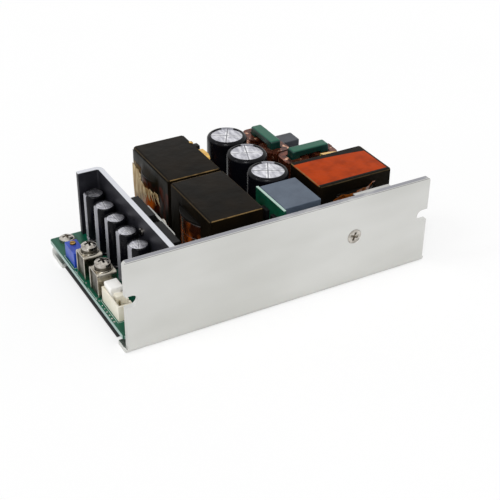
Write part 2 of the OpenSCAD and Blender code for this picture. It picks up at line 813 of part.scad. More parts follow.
// Wound copper with its layers showing as shallow ribs
module winding(which) {
    barrel = core_post_diameter + 2 * bobbin_gap + 2 * bobbin_wall;
    bottom = core_back + bobbin_gap + bobbin_wall;
    height = window_height - 2 * bobbin_gap - 2 * bobbin_wall;
    ribs = 9;
    rib_pitch = height / ribs;
    rib_radius = rib_pitch / 2;
    outer = winding_diameter / 2 - tape_thickness;
    color([0.6, 0.3, 0.12]) place() at_core(which) translate([0, 0, bottom]) rotate_extrude() {
        translate([barrel / 2, 0]) square([outer - rib_radius * 0.5 - barrel / 2, height]);
        for (i = [0:ribs - 1]) intersection() {
            translate([outer - rib_radius, rib_radius + i * rib_pitch]) circle(rib_radius);
            translate([outer - rib_radius, i * rib_pitch]) square([rib_radius, rib_pitch]);
        }
    }
}

// Closed band of tape over the core's back, ends and underside
module core_tape(which) {
    t = tape_thickness;
    width = core_width - 2 * tape_margin;
    color([0.5, 0.25, 0.06]) place() at_core(which) rotate([90, 0, 0])
        linear_extrude(width, center = true) translate([0, core_height / 2]) difference() {
            rounded_rect([core_length + 2 * t, core_height + 2 * t], tape_corner_radius);
            square([core_length, core_height], center = true);
        }
}

// ---------- input side ----------

module bulk_capacitor(i) {
    color([0.08, 0.08, 0.09]) place() translate([bulk_cap_x, bulk_start + i * bulk_pitch, board_top])
        can_capacitor(bulk_cap_diameter, bulk_cap_height, 2);
}

module film_capacitor() {
    color([0.33, 0.37, 0.42]) place() translate([film_cap_x, film_cap_near, board_top])
        block([film_cap_length, film_cap_width, film_cap_height], 0.5);
}

module control_board() {
    color([0, 0.34, 0.22]) place() translate([control_x, control_near, board_top])
        cube([control_board_thickness, control_length, control_board_height]);
}

// Small outline packages on the control board's left face, each row its middle and its size as
// shares of the board's length and height
module control_chips() {
    chips = [
        [0.245, 0.77, 0.2, 0.16], [0.59, 0.785, 0.2, 0.13], [0.245, 0.48, 0.29, 0.13],
        [0.71, 0.45, 0.15, 0.19], [0.29, 0.19, 0.245, 0.16], [0.69, 0.175, 0.2, 0.13],
    ];
    size = [control_length, control_board_height];
    color([0.1, 0.1, 0.1]) place() for (c = chips)
        translate([
            control_x - chip_depth,
            control_near + (c[0] - c[2] / 2) * size[0],
            board_top + (c[1] - c[3] / 2) * size[1],
        ]) cube([chip_depth, c[2] * size[0], c[3] * size[1]]);
}

// Move to a line choke: 0 the one across the supply, 1 the one along it
module at_choke(which) {
    if (which == 0) translate([choke_1_x, choke_1_y, board_top]) rotate(90) children();
    else translate([choke_2_x, choke_2_y, board_top]) children();
}

// Closed rectangular ferrite ring standing on edge, in the XZ plane
module choke_core(which) {
    height = choke_height - choke_base_height;
    hole = [choke_core_length - 2 * choke_leg_width, height - 2 * choke_bar_height];
    color([0.1, 0.36, 0.28]) place() at_choke(which)
        translate([0, choke_core_thickness / 2, choke_base_height + height / 2]) rotate([90, 0, 0])
            linear_extrude(choke_core_thickness) difference() {
                rounded_rect([choke_core_length, height], choke_edge_radius);
                square(hole, center = true);
            }
}

// Flat copper wound on edge round each leg
module choke_winding(which) {
    height = choke_height - choke_base_height - 2 * choke_bar_height - 1;
    pitch = height / choke_turns;
    wire = pitch * 0.7;
    fit = 0.3;
    inner = [choke_leg_width + 2 * fit, choke_core_thickness + 2 * fit];
    outer = [2 * choke_coil_reach, 2 * choke_coil_depth];
    color([0.55, 0.3, 0.15]) place() at_choke(which) for (side = [-1, 1])
        translate([side * choke_leg_offset, 0, choke_base_height + choke_bar_height + 0.5]) {
            linear_extrude(height) difference() {
                rounded_rect([outer[0] - 1, outer[1] - 1], 2.6);
                square(inner, center = true);
            }
            for (i = [0:choke_turns - 1]) translate([0, 0, i * pitch]) linear_extrude(wire) difference() {
                rounded_rect(outer, 3);
                square(inner, center = true);
            }
        }
}

// Moulded base with a cradle for the core
module choke_base(which) {
    size = [choke_core_length + 2 * choke_coil_reach - choke_leg_width, 2 * choke_coil_depth];
    cradle = 2.4;
    cradle_inset = 2;
    color([0.08, 0.08, 0.08]) place() at_choke(which) {
        linear_extrude(choke_base_height) rounded_rect(size, 1);
        for (side = [0, 1]) mirror([0, side, 0])
            translate([-choke_core_length / 2 + cradle_inset, choke_core_thickness / 2 + 0.1, choke_base_height - 0.1])
                cube([choke_core_length - 2 * cradle_inset, 1, cradle]);
    }
}

module x_capacitor() {
    color([0.25, 0.26, 0.28]) place() translate([x_cap_x, x_cap_near, board_top])
        block([x_cap_length, x_cap_width, x_cap_height], 0.5);
}

// ---------- clamp on the side wall ----------

// Flat plate against the wall, stepped down at its left end, with the screw hole
module clamp_plate() {
    height = wall_height - clamp_top_gap - clamp_foot;
    color([0.72, 0.72, 0.72]) place() difference() {
        translate([clamp_left, clamp_near, clamp_foot]) cube([clamp_plate_length, clamp_plate_thickness, height]);
        translate([clamp_left - OVER, clamp_near - OVER, clamp_foot + height - clamp_step_depth])
            cube([clamp_step_x - clamp_left + OVER, clamp_plate_thickness + 2 * OVER, clamp_step_depth + OVER]);
        translate([clamp_screw_x, clamp_near - OVER, clamp_screw_height]) rotate([-90, 0, 0])
            cylinder(r = clear_radius, h = clamp_plate_thickness + 2 * OVER);
    }
}

module bridge_rectifier() {
    place() {
        color([0.1, 0.1, 0.1]) difference() {
            translate([clamp_screw_x - bridge_hole_inset, bridge_near, bridge_bottom])
                cube([bridge_length, bridge_thickness, bridge_height]);
            translate([clamp_screw_x, bridge_near - OVER, clamp_screw_height]) rotate([-90, 0, 0])
                cylinder(r = clear_radius, h = bridge_thickness + 2 * OVER);
            translate([clamp_screw_x - bridge_hole_inset, bridge_near - OVER, bridge_bottom + bridge_height])
                rotate([0, 45, 0])
                translate([-2, 0, -2]) cube([4, bridge_thickness + 2 * OVER, 4]);
        }
        color([0.7, 0.7, 0.68]) for (i = [0:bridge_lead_count - 1])
            translate([clamp_screw_x - bridge_lead_inset + i * bridge_lead_pitch, bridge_near + 1.2, board_top])
                cube([1.2, 0.8, bridge_bottom - board_top]);
    }
}

module wall_screw() {
    length = sheet_thickness + clamp_plate_thickness + bridge_thickness + nut_thickness + nut_screw_end;
    color([0.75, 0.75, 0.73]) place() translate([clamp_screw_x, 0, clamp_screw_height]) rotate([-90, 0, 0])
        difference() {
            union() {
                cylinder(r1 = flush_head_diameter / 2, r2 = shank_radius, h = flush_head_depth);
                cylinder(r = shank_radius, h = length);
            }
            rotate([180, 0, 20]) cross_recess();
        }
}

module wall_nut() {
    color([0.75, 0.75, 0.73]) place()
        translate([clamp_screw_x, bridge_near + bridge_thickness, clamp_screw_height]) rotate([-90, 0, 0])
            difference() {
                cylinder(d = nut_across_flats / cos(30), h = nut_thickness, $fn = 6);
                translate([0, 0, -OVER]) cylinder(r = thread_radius, h = nut_thickness + 2 * OVER, $fn = 48);
            }
}

// ---------- input end ----------

function input_pin_y(i) = input_near + input_width / 2 + (i - 0.5) * 2 * input_pitch;

module input_connector() {
    color([0.88, 0.87, 0.82]) place() translate([input_left, input_near, board_top]) difference() {
        block([input_length, input_width, input_height], 0.4);
        translate([input_wall, input_wall, input_floor])
            cube([input_length - 2 * input_wall, input_width - 2 * input_wall, input_height]);
        translate([input_length - input_wall - OVER, input_width * 0.3, input_floor])
            cube([input_wall + 2 * OVER, input_width * 0.4, input_height]);
        for (i = [0, 1])
            translate([input_length / 2, input_pin_y(i) - input_near, -OVER]) cylinder(d = 1.18, h = input_floor + 2 * OVER);
    }
}

module input_pins() {
    color([0.78, 0.74, 0.62]) place() for (i = [0, 1])
        translate([input_left + input_length / 2, input_pin_y(i), board_top]) cylinder(d = 1.14, h = input_height - 1.4);
}

// Moulded radial fuse
module fuse() {
    left = input_left - fuse_input_gap - fuse_size[0];
    near = choke_2_y + choke_coil_depth + choke_fuse_gap;
    color([0.12, 0.12, 0.12]) place() translate([left, near, board_top]) block(fuse_size, 0.6);
}

// Upright disc on two wire leads, its flat side along Y
module disc_part(diameter, thickness) {
    translate([0, 0, lead_length + diameter / 2]) rotate([90, 0, 0]) rotate_extrude() {
        square([diameter / 2 - thickness / 4, thickness / 2]);
        translate([0, -thickness / 2]) square([diameter / 2 - thickness / 4, thickness / 2]);
        translate([0, -thickness / 4]) square([diameter / 2, thickness / 2]);
    }
    for (side = [-1, 1]) translate([side * diameter * 0.3, 0, 0])
        cylinder(r = lead_radius, h = lead_length + diameter * 0.3);
}

module thermistor() {
    color([0.12, 0.13, 0.12]) place()
        translate([input_left + thermistor_diameter / 2, thermistor_y, board_top])
            disc_part(thermistor_diameter, thermistor_thickness);
}

module y_capacitors() {
    color([0.15, 0.3, 0.5]) place() for (i = [0:y_cap_count - 1])
        translate([input_left + thermistor_diameter / 2, y_cap_start + i * y_cap_pitch, board_top])
            disc_part(y_cap_diameter, y_cap_thickness);
}

// ---------- nodes ----------

chassis();
insulating_sheet();
board_spacers();
main_board();
board_screws();
output_heat_sink();
output_rectifiers();
rectifier_clip();
clip_screw();
output_capacitor(0);  // output_capacitor_1
output_capacitor(1);  // output_capacitor_2
output_capacitor(2);  // output_capacitor_3
output_capacitor(3);  // output_capacitor_4
output_capacitor(4);  // output_capacitor_5
terminal(1);  // positive_terminal
terminal(0);  // negative_terminal
terminal_screws();
lock_washers();
flat_washers();
output_connector();
connector_pins();
shorting_plug();
trimmer_body();
trimmer_screw();
ferrite_core(0);  // main_transformer_core
bobbin(0);  // main_transformer_bobbin
winding(0);  // main_transformer_winding
core_tape(0);  // main_transformer_tape
ferrite_core(1);  // resonant_choke_core
bobbin(1);  // resonant_choke_bobbin
winding(1);  // resonant_choke_winding
core_tape(1);  // resonant_choke_tape
ferrite_core(2);  // boost_choke_core
bobbin(2);  // boost_choke_bobbin
winding(2);  // boost_choke_winding
core_tape(2);  // boost_choke_tape
bulk_capacitor(0);  // bulk_capacitor_1
bulk_capacitor(1);  // bulk_capacitor_2
bulk_capacitor(2);  // bulk_capacitor_3
choke_core(0);  // line_choke_1_core
choke_winding(0);  // line_choke_1_winding
choke_base(0);  // line_choke_1_base
choke_core(1);  // line_choke_2_core
choke_winding(1);  // line_choke_2_winding
choke_base(1);  // line_choke_2_base
x_capacitor();
film_capacitor();
control_board();
control_chips();
clamp_plate();
bridge_rectifier();
wall_screw();
wall_nut();
input_connector();
input_pins();
fuse();
thermistor();
y_capacitors();
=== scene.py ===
"""Open frame power supply: studio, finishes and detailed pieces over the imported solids."""

import json
import logging
import math
import random
from dataclasses import dataclass, replace
from enum import Enum
from functools import lru_cache, reduce
from typing import Callable, Iterable, Optional, Sequence, Union

import bmesh
import bpy
from mathutils import Matrix, Vector


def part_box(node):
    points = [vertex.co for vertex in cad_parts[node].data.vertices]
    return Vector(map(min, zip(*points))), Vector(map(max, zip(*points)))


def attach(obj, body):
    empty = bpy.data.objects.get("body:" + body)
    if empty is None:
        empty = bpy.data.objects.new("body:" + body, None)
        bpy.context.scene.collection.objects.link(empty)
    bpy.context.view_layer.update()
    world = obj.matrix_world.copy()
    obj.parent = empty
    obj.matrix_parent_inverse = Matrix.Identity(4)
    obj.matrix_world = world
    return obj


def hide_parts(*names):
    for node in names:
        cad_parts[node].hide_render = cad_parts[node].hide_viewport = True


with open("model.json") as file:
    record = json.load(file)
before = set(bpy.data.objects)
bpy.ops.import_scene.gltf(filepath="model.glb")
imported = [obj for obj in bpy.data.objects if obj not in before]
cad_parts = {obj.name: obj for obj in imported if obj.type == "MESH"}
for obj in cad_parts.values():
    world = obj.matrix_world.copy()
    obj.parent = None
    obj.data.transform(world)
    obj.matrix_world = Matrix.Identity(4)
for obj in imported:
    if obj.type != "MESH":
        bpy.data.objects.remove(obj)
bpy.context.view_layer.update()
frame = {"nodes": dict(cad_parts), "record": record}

LOG = logging.getLogger("power_supply")
MM = 0.001
SMOOTH_ANGLE = math.radians(38)
BEVEL_ANGLE = math.radians(35)
FLAT_ANGLE = math.radians(0.6)
WELD = 1e-6
SKIN_WELD = 2e-6

PER_METRE = 1000
FULL_TURN = 2 * math.pi
LIT = (1.0, 1.0, 1.0, 1.0)

Triple = tuple[float, float, float]
Colour = Triple
Pairs = tuple[tuple[float, float], ...]
Place = Sequence[float]
ORIGIN: Triple = (0.0, 0.0, 0.0)


def scaled(colour: Colour, share: float) -> Colour:
    """A colour made lighter or darker, kept within 1."""
    return tuple(min(1.0, c * share) for c in colour)


def srgb(red: int, green: int, blue: int) -> Colour:
    """The linear colour of a screen colour, each part 0 to 255."""
    parts = [c / 255 for c in (red, green, blue)]
    return tuple(p / 12.92 if p <= 0.04045 else ((p + 0.055) / 1.055) ** 2.4 for p in parts)


# ---------------------------------------------------------------- shader maths


def operator(operation: str) -> Callable[..., "Value"]:
    """A method of Value that adds one Math node of this kind."""

    def method(value: "Value", *others: "Number") -> "Value":
        """The output of the new node."""
        return value.math(operation, value, *others)

    return method


class Value:
    """One socket of a shader, with the arithmetic that adds Math nodes."""

    __add__ = __radd__ = operator("ADD")
    __sub__ = operator("SUBTRACT")
    __mul__ = __rmul__ = operator("MULTIPLY")
    __abs__ = operator("ABSOLUTE")
    sine, most, least = operator("SINE"), operator("MAXIMUM"), operator("MINIMUM")

    def __init__(self, nodes: "Nodes", socket: bpy.types.NodeSocket) -> None:
        """Keep the tree and the socket."""
        self.nodes = nodes
        self.socket = socket

    def beside(self, out: Union[int, str]) -> "Value":
        """Another output of the same node."""
        return Value(self.nodes, self.socket.node.outputs[out])

    def math(self, operation: str, *inputs: "Number") -> "Value":
        """Add one Math node with these inputs."""
        return self.nodes.node("ShaderNodeMath", {"operation": operation}, dict(enumerate(inputs)))

    def __rsub__(self, other: "Number") -> "Value":
        """Difference, from a number."""
        return self.math("SUBTRACT", other, self)

    def ramp(self, low: float, high: float) -> "Value":
        """A smooth step from 0 at low to 1 at high.

        Args:
            low: Where the step starts.
            high: Where it ends; below low turns the step round.

        Returns:
            The step, 0 to 1.
        """
        if high < low:
            return 1 - self.ramp(high, low)
        return self.nodes.node(
            "ShaderNodeMapRange",
            {"interpolation_type": "SMOOTHSTEP"},
            {"Value": self, "From Min": low, "From Max": high},
        )

    def band(self, low: float, high: float, soft: float) -> "Value":
        """1 between low and high, with edges that are soft that far."""
        return self.ramp(low - soft, low + soft) * self.ramp(high + soft, high - soft)


Number = Union[float, Value]


class Nodes:
    """A node tree built from expressions."""

    def __init__(self, tree: bpy.types.NodeTree) -> None:
        """Empty the tree."""
        self.tree = tree
        tree.nodes.clear()

    def fill(self, made: bpy.types.Node, key: Union[int, str], given: object) -> None:
        """Set or link one input of a node.

        Args:
            made: The node.
            key: The input's name or number.
            given: A number, a vector or a link.
        """
        if isinstance(given, Value):
            self.tree.links.new(given.socket, made.inputs[key])
        else:
            made.inputs[key].default_value = given

    def node(self, kind: str, settings: dict, sockets: dict, out: Union[int, str] = 0) -> Optional[Value]:
        """Add a node.

        Args:
            kind: The node's type.
            settings: Its own settings, made first.
            sockets: Values or links of its input sockets.
            out: The output that is returned.

        Returns:
            The chosen output, or nothing from a node that has none.
        """
        made = self.tree.nodes.new(kind)
        for key, setting in settings.items():
            setattr(made, key, setting)
        for key, given in sockets.items():
            self.fill(made, key, given)
        return Value(self, made.outputs[out]) if made.outputs else None


class Shader(Nodes):
    """The node tree of one material with a Principled shader."""

    def __init__(self, name: str) -> None:
        """Make the material.

        Args:
            name: Its name.
        """
        self.material = bpy.data.materials.new(name)
        self.material.use_nodes = True
        super().__init__(self.material.node_tree)
        self.surface = self.node("ShaderNodeBsdfPrincipled", {}, {})
        self._place: Optional[Value] = None

    @property
    def place(self) -> Value:
        """Object coordinates in metres."""
        if self._place is None:
            self._place = self.node("ShaderNodeTexCoord", {}, {}, "Object")
        return self._place

    def axes(self, centre: Sequence[float] = ORIGIN) -> tuple[Value, Value, Value]:
        """The three coordinates in millimetres from a centre.

        Args:
            centre: Where the coordinates are nought, in metres.

        Returns:
            The three values.
        """
        x = self.node("ShaderNodeSeparateXYZ", {}, {0: self.place})
        return tuple((x.beside(i) - centre[i]) * PER_METRE for i in range(3))

    def noise(self, size: float, detail: float = 3.0, stretch: Sequence[float] = (1, 1, 1)) -> Value:
        """Cloudy noise.

        Args:
            size: Size of its lumps in millimetres.
            detail: Levels of finer lumps.
            stretch: How much longer the lumps are along each axis.

        Returns:
            The noise, 0 to 1 with 0.5 as its middle.
        """
        scale = tuple(PER_METRE / (size * s) for s in stretch)
        spread = self.node("ShaderNodeMapping", {}, {"Vector": self.place, "Scale": scale})
        return self.node("ShaderNodeTexNoise", {}, {"Vector": spread, "Scale": 1.0, "Detail": detail})

    def mix(self, factor: Value, first: object, second: object) -> Value:
        """Blend two colours.

        Args:
            factor: 0 for the first, 1 for the second.
            first: A colour or a link.
            second: A colour or a link.

        Returns:
            The blended colour.
        """
        full = [c if isinstance(c, Value) else (*c, 1.0) for c in (first, second)]
        return self.node("ShaderNodeMix", {"data_type": "RGBA"}, {0: factor, 6: full[0], 7: full[1]}, 2)

    def bump(self, height: Value, depth: float) -> None:
        """Lead a height to the shader's normal.

        Args:
            height: The height, about 0 to 1.
            depth: What 1 is worth, in millimetres.
        """
        relief = {"Height": height, "Distance": depth * MM, "Strength": 1.0}
        self.set("Normal", self.node("ShaderNodeBump", {}, relief))

    def set(self, socket: str, given: object) -> None:
        """Set or link one socket of the Principled shader.

        Args:
            socket: The socket's name.
            given: A number, a colour or a link.
        """
        colour = isinstance(given, tuple)
        self.fill(self.surface.socket.node, socket, (*given, 1.0) if colour else given)


# ---------------------------------------------------------------- finishes


def middle_of(low: Place, high: Place) -> Triple:
    """The middle between two corners."""
    return tuple((a + b) / 2 for a, b in zip(low, high))


def halves(low: Place, high: Place) -> list[float]:
    """Half the distances between two corners, in millimetres."""
    return [(b - a) / MM / 2 for a, b in zip(low, high)]


class Grain(Enum):
    """The fine texture of a surface: size and detail of its lumps, stretch, relief, swing in gloss."""

    MOULDED = (0.3, 3, (1, 1, 1), 0.006, 0.1)
    ROLLED = (0.12, 2, (90, 90, 1), 0.006, 0.12)
    PLATED = (0.5, 3, (1, 1, 1), 0.008, 0.14)
    SINTERED = (0.25, 5, (1, 1, 1), 0.02, 0.2)
    FILM = (5.0, 2, (1, 1, 2), 0.16, 0.12)


@dataclass(frozen=True)
class Finish:
    """A finish that wanders between two near colours, with a fine grain."""

    name: str
    colour: Colour
    tint: Colour
    roughness: float
    grain: Grain = Grain.MOULDED
    metallic: float = 0.0
    coat: float = 0.0
    specular: float = 0.5
    lump: float = 6.0

    def material(self) -> bpy.types.Material:
        """The Blender material, made once.

        Returns:
            The material.
        """
        found = bpy.data.materials.get(self.name)
        if found is None:
            shader = Shader(self.name)
            shader.set("Metallic", self.metallic)
            shader.set("Coat Weight", self.coat)
            shader.set("Specular IOR Level", self.specular)
            self.texture(shader)
            shader.set("Base Color", self.paint(shader))
            shader.node("ShaderNodeOutputMaterial", {}, {"Surface": self.closure(shader)})
            found = shader.material
        return found

    def closure(self, shader: Shader) -> Value:
        """What the surface shows; a glowing finish extends this."""
        return shader.surface

    def base(self, shader: Shader) -> Value:
        """The two colours, mixed in soft clouds."""
        return shader.mix(shader.noise(self.lump).ramp(0.3, 0.7), self.colour, self.tint)

    def paint(self, shader: Shader) -> Value:
        """The colour of the surface; finishes with a pattern extend this."""
        return self.base(shader)

    def texture(self, shader: Shader) -> None:
        """Add the grain's bump and its uneven gloss.

        Args:
            shader: The shader being built.
        """
        size, detail, stretch, depth, swing = self.grain.value
        fine = shader.noise(size, detail, stretch)
        shader.set("Roughness", (fine - 0.5) * swing + self.roughness)
        shader.bump(fine, depth)


@dataclass(frozen=True)
class SheetEdge(Finish):
    """A sheet, board or bar whose top edge has its own colour: the bare cut edge on sheets and boards,
    painted top light on the choke bars.
    """

    edge: Colour = (0.7, 0.7, 0.68)
    top: float = 0.0

    def paint(self, shader: Shader) -> Value:
        """Broad faces clouded, the top edge plain.

        Args:
            shader: The shader being built.

        Returns:
            The colour.
        """
        z = shader.axes((0, 0, self.top))[2]
        wide = shader.noise(7, 3, (1, 1, 2)).ramp(0.55, 0.8)
        body = shader.mix(wide, self.base(shader), tuple(c * 2.2 + 0.01 for c in self.colour))
        # On the choke bars this top colour is painted light: the lit top face, with the sides left darker.
        return shader.mix(z.ramp(-0.35, -0.1), body, self.edge)


@dataclass(frozen=True)
class Laminate(Finish):
    """Green board with a pale cut edge and faint buried tracks."""

    edge: Colour = (0.3, 0.42, 0.38)
    low: tuple[float, float] = (0.0, 0.0)
    high: tuple[float, float] = (0.0, 0.0)

    def paint(self, shader: Shader) -> Value:
        """Solder mask, tracks showing through it, and the sawn edge.

        Args:
            shader: The shader being built.

        Returns:
            The colour.
        """
        x, y, _ = shader.axes((*middle_of(self.low, self.high), 0))
        half = halves(self.low, self.high)
        rim = (abs(x) - half[0]).most(abs(y) - half[1])
        wander = shader.noise(9, 0) * 5
        tracks = ((x * 0.9 + wander) * 1.6).sine().band(0.55, 2, 0.08)
        spread = shader.noise(14, 0).ramp(0.42, 0.56)
        lit = shader.mix(tracks * spread, self.base(shader), scaled(self.colour, 1.7))
        return shader.mix(rim.ramp(-0.12, -0.04), lit, self.edge)


@dataclass(frozen=True)
class Sleeve(Finish):
    """Dark shrink sleeve with a pale stripe down one side."""

    centre: tuple[float, float] = (0.0, 0.0)
    stripe: Colour = (0.3, 0.3, 0.32)
    stripe_angle: float = 183.0
    stripe_half: float = 22.0

    def paint(self, shader: Shader) -> Value:
        """The sleeve and its stripe.

        Args:
            shader: The shader being built.

        Returns:
            The colour.
        """
        x, y, _ = shader.axes((*self.centre, 0))
        turn = math.radians(self.stripe_angle)
        across = y * math.cos(turn) - x * math.sin(turn)
        along = x * math.cos(turn) + y * math.sin(turn)
        angle = shader.node("ShaderNodeMath", {"operation": "ARCTAN2"}, {0: across, 1: along})
        half = math.radians(self.stripe_half)
        return shader.mix(abs(angle).ramp(half + 0.03, half - 0.03), self.base(shader), self.stripe)


@dataclass(frozen=True)
class SpunTop(Finish):
    """Bare can top with fine rings, a painted highlight beside its score lines and painted shade in them."""

    centre: tuple[float, float] = (0.0, 0.0)
    radius: float = 3.0
    turn: float = 0.0

    def paint(self, shader: Shader) -> Value:
        """Pressed metal, with a painted highlight beside the two score lines and painted shade in them.

        Args:
            shader: The shader being built.

        Returns:
            The colour.
        """
        x, y, _ = shader.axes((*self.centre, 0))
        cos, sin = math.cos(self.turn), math.sin(self.turn)
        across = abs(x * cos + y * sin).least(abs(y * cos - x * sin))
        blotch = shader.noise(self.radius * 0.22, 5, (1, 3, 1)).ramp(0.3, 0.72)
        plate = shader.mix(blotch, self.colour, self.tint)
        # Painted highlight: a bright band on each side of the score lines.
        lit = across.band(self.radius * 0.05, self.radius * 0.11, self.radius * 0.04)
        lit = lit * shader.noise(self.radius * 0.35, 1).ramp(0.35, 0.6)
        bright = shader.mix(lit, plate, scaled(self.tint, 1.5))
        # Painted shade: the score lines themselves darkened.
        score = across.ramp(self.radius * 0.035, self.radius * 0.015)
        return shader.mix(score, bright, scaled(self.colour, 0.45))


@dataclass(frozen=True)
class WoundTape(Finish):
    """Clear amber tape over copper: glowing patches on a deep brown ground."""

    glow: Colour = (0.4, 0.12, 0.02)
    centre: Triple = ORIGIN
    wire: float = 0.5
    low: float = 0.0

    def paint(self, shader: Shader) -> Value:
        """Turns of wire under the tape, brighter where the light gets in.

        Args:
            shader: The shader being built.

        Returns:
            The colour.
        """
        _, _, z = shader.axes(self.centre)
        turns = (z * (2 * math.pi / self.wire)).sine() * 0.5 + 0.5
        clouds = shader.noise(5.5, 2, (1, 1, 1.6))
        warm = (clouds + turns * 0.07).ramp(0.38 + self.low, 0.62 + self.low)
        amber = shader.mix(warm, self.colour, self.glow)
        fold = shader.noise(2.0, 3, (1, 1, 3)).ramp(0.66, 0.72)
        return shader.mix(fold * warm, amber, scaled(self.glow, 2.2))


@dataclass(frozen=True)
class CoreFinish(Finish):
    """Ferrite seen through amber film, with painted highlights as pale lines on the arrises and a coloured
    top band.
    """

    low: Triple = ORIGIN
    high: Triple = ORIGIN
    line: Colour = (0.2, 0.15, 0.08)
    band: Colour = ORIGIN
    margins: tuple[float, float, float, float] = (0.0, 0.0, 0.0, 0.0)
    banded: bool = False
    arrises: tuple[bool, bool] = (True, True)

    def paint(self, shader: Shader) -> Value:
        """Dark ground, the band on the top face and painted highlights on the arrises.

        Args:
            shader: The shader being built.

        Returns:
            The colour.
        """
        half = halves(self.low, self.high)
        x, y, z = shader.axes(middle_of(self.low, self.high))
        ground = self.base(shader)
        if self.banded:
            west, east, near, far = self.margins
            bow = y + x * (1.3 / half[0]) + x * x * (0.7 / half[0] ** 2)
            face = (
                x.band(-half[0] + west, half[0] - east, 0.12)
                * y.ramp(-half[1] + near - 0.1, -half[1] + near + 0.1)
                * bow.ramp(half[1] - far + 0.1, half[1] - far - 0.1)
                * z.ramp(half[2] - 0.5, half[2] - 0.3)
            )
            patches = shader.noise(4, 4).ramp(0.35, 0.75)
            ground = shader.mix(face, ground, shader.mix(patches, self.band, scaled(self.band, 0.7)))
        # Painted highlight: pale lines along the top arrises, where the bevels catch the light, broken up in
        # patches.
        skipped = [0.0 if shown else 9.0 for shown in self.arrises]
        side = (abs(x) - (half[0] + skipped[0])).most(abs(y) - (half[1] + skipped[1]))
        arris = side.ramp(-0.34, -0.2) * z.ramp(half[2] - 0.34, half[2] - 0.2)
        glint_patches = shader.noise(3, 2).ramp(0.3, 0.6) * 0.6 + 0.4
        return shader.mix(arris * glint_patches, ground, self.line)


@dataclass(frozen=True)
class WrapFinish(Finish):
    """Film over a wound part: dark head, tan strip, and maroon and orange copper glowing below."""

    low: Triple = ORIGIN
    high: Triple = ORIGIN
    tan: Colour = ORIGIN
    maroon: Colour = ORIGIN
    glow: Colour = ORIGIN

    def paint(self, shader: Shader) -> Value:
        """The bands from the top down, broken up by folds.

        Args:
            shader: The shader being built.

        Returns:
            The colour.
        """
        corner = (self.low[0], self.high[1], self.high[2])
        _, y, z = shader.axes(corner)
        down, near = 0 - z, 0 - y
        fold = shader.noise(2.6, 4, (1, 1.3, 3)) - 0.5
        head = (down + fold * 3).ramp(5.0, 6.4)
        strip = (down - near * 0.12 + fold * 2).band(5.4, 7.2, 0.5) * near.ramp(20, 9)
        lower = (shader.noise(3.6, 3, (1, 1, 2.2)) + fold * 0.3).ramp(0.34, 0.66)
        warm = shader.mix(lower, self.colour, self.maroon)
        aside, above = near - 17.5, down - 14.5
        spot = (aside * aside * 0.10 + above * above * 0.05 + fold * 2.4).ramp(2.0, 0.5)
        edge = near.ramp(1.6, 0.2) * down.ramp(22, 30)
        lit = shader.mix(spot.most(edge * 0.6), warm, self.glow)
        body = shader.mix(head, self.base(shader), lit)
        return shader.mix(strip, body, self.tan)


@dataclass(frozen=True)
class Shreds(Finish):
    """Torn cream tape, darker and browner towards its tips."""

    tip: Colour = (0.2, 0.08, 0.02)
    top: float = 0.0
    drop: float = 16.0

    def paint(self, shader: Shader) -> Value:
        """Long streaks that fade to brown as they go down.

        Args:
            shader: The shader being built.

        Returns:
            The colour.
        """
        _, _, z = shader.axes((0, 0, self.top))
        streak = shader.noise(0.7, 3, (1, 1, 14)).ramp(0.35, 0.7)
        pale = shader.mix(streak, self.colour, self.tint)
        return shader.mix(z.ramp(-self.drop * 0.5, -self.drop), pale, self.tip)


@dataclass(frozen=True)
class EdgeWound(Finish):
    """Enamelled flat copper with pink painted highlights."""

    copper_glint: Colour = (0.5, 0.24, 0.14)

    def paint(self, shader: Shader) -> Value:
        """Enamel with pink painted highlights in spots.

        Args:
            shader: The shader being built.

        Returns:
            The colour.
        """
        # Painted highlight: pink glints of the copper in scattered spots.
        glint_spots = shader.noise(2.4, 3, (1, 1, 2)).ramp(0.6, 0.7)
        return shader.mix(glint_spots, self.base(shader), self.copper_glint)


@dataclass(frozen=True)
class WallSheet(Finish):
    """Rolled sheet with sheared arrises: darker blue-grey on its top face, with a fine dark line just under
    its top edge.
    """

    top: float = 0.0
    near: float = 0.0
    dark_top_line: Colour = (0.12, 0.12, 0.13)
    crest: Colour = (0.3, 0.3, 0.33)

    def paint(self, shader: Shader) -> Value:
        """Sheet colour, a darker blue-grey top face and a fine dark line under the wall's top edge.

        Args:
            shader: The shader being built.

        Returns:
            The colour.
        """
        _, y, z = shader.axes((0, self.near, self.top))
        cloud = shader.noise(26, 3, (2.5, 1, 1)).ramp(0.3, 0.7)
        sheet = shader.mix(cloud, self.colour, self.tint)
        broken = shader.noise(3, 3, (3, 1, 1)).ramp(0.25, 0.5) * 0.6 + 0.25
        crest = z.ramp(-0.12, -0.02) * y.band(0.12, 1.9, 0.08)
        sheet = shader.mix(crest * (broken + 0.1), sheet, self.crest)
        line = z.band(-0.42, -0.2, 0.06) * y.ramp(0.5, 0.2)
        return shader.mix(line * broken, sheet, self.dark_top_line)


@dataclass(frozen=True)
class DrivenHead(Finish):
    """Screw whose recess falls into shade."""

    heads: tuple[Triple, ...] = ()
    bore: float = 1.6

    def paint(self, shader: Shader) -> Value:
        """Plating, dark where the recess goes down.

        Args:
            shader: The shader being built.

        Returns:
            The colour.
        """
        marks = []
        for head in self.heads:
            x, y, z = shader.axes(head)
            near = (x * x + y * y).ramp(self.bore**2, (self.bore * 0.85) ** 2)
            marks.append(near * z.ramp(-0.3, -0.6))
        shade = reduce(Value.most, marks)
        return shader.mix(shade, self.base(shader), scaled(self.colour, 0.06))


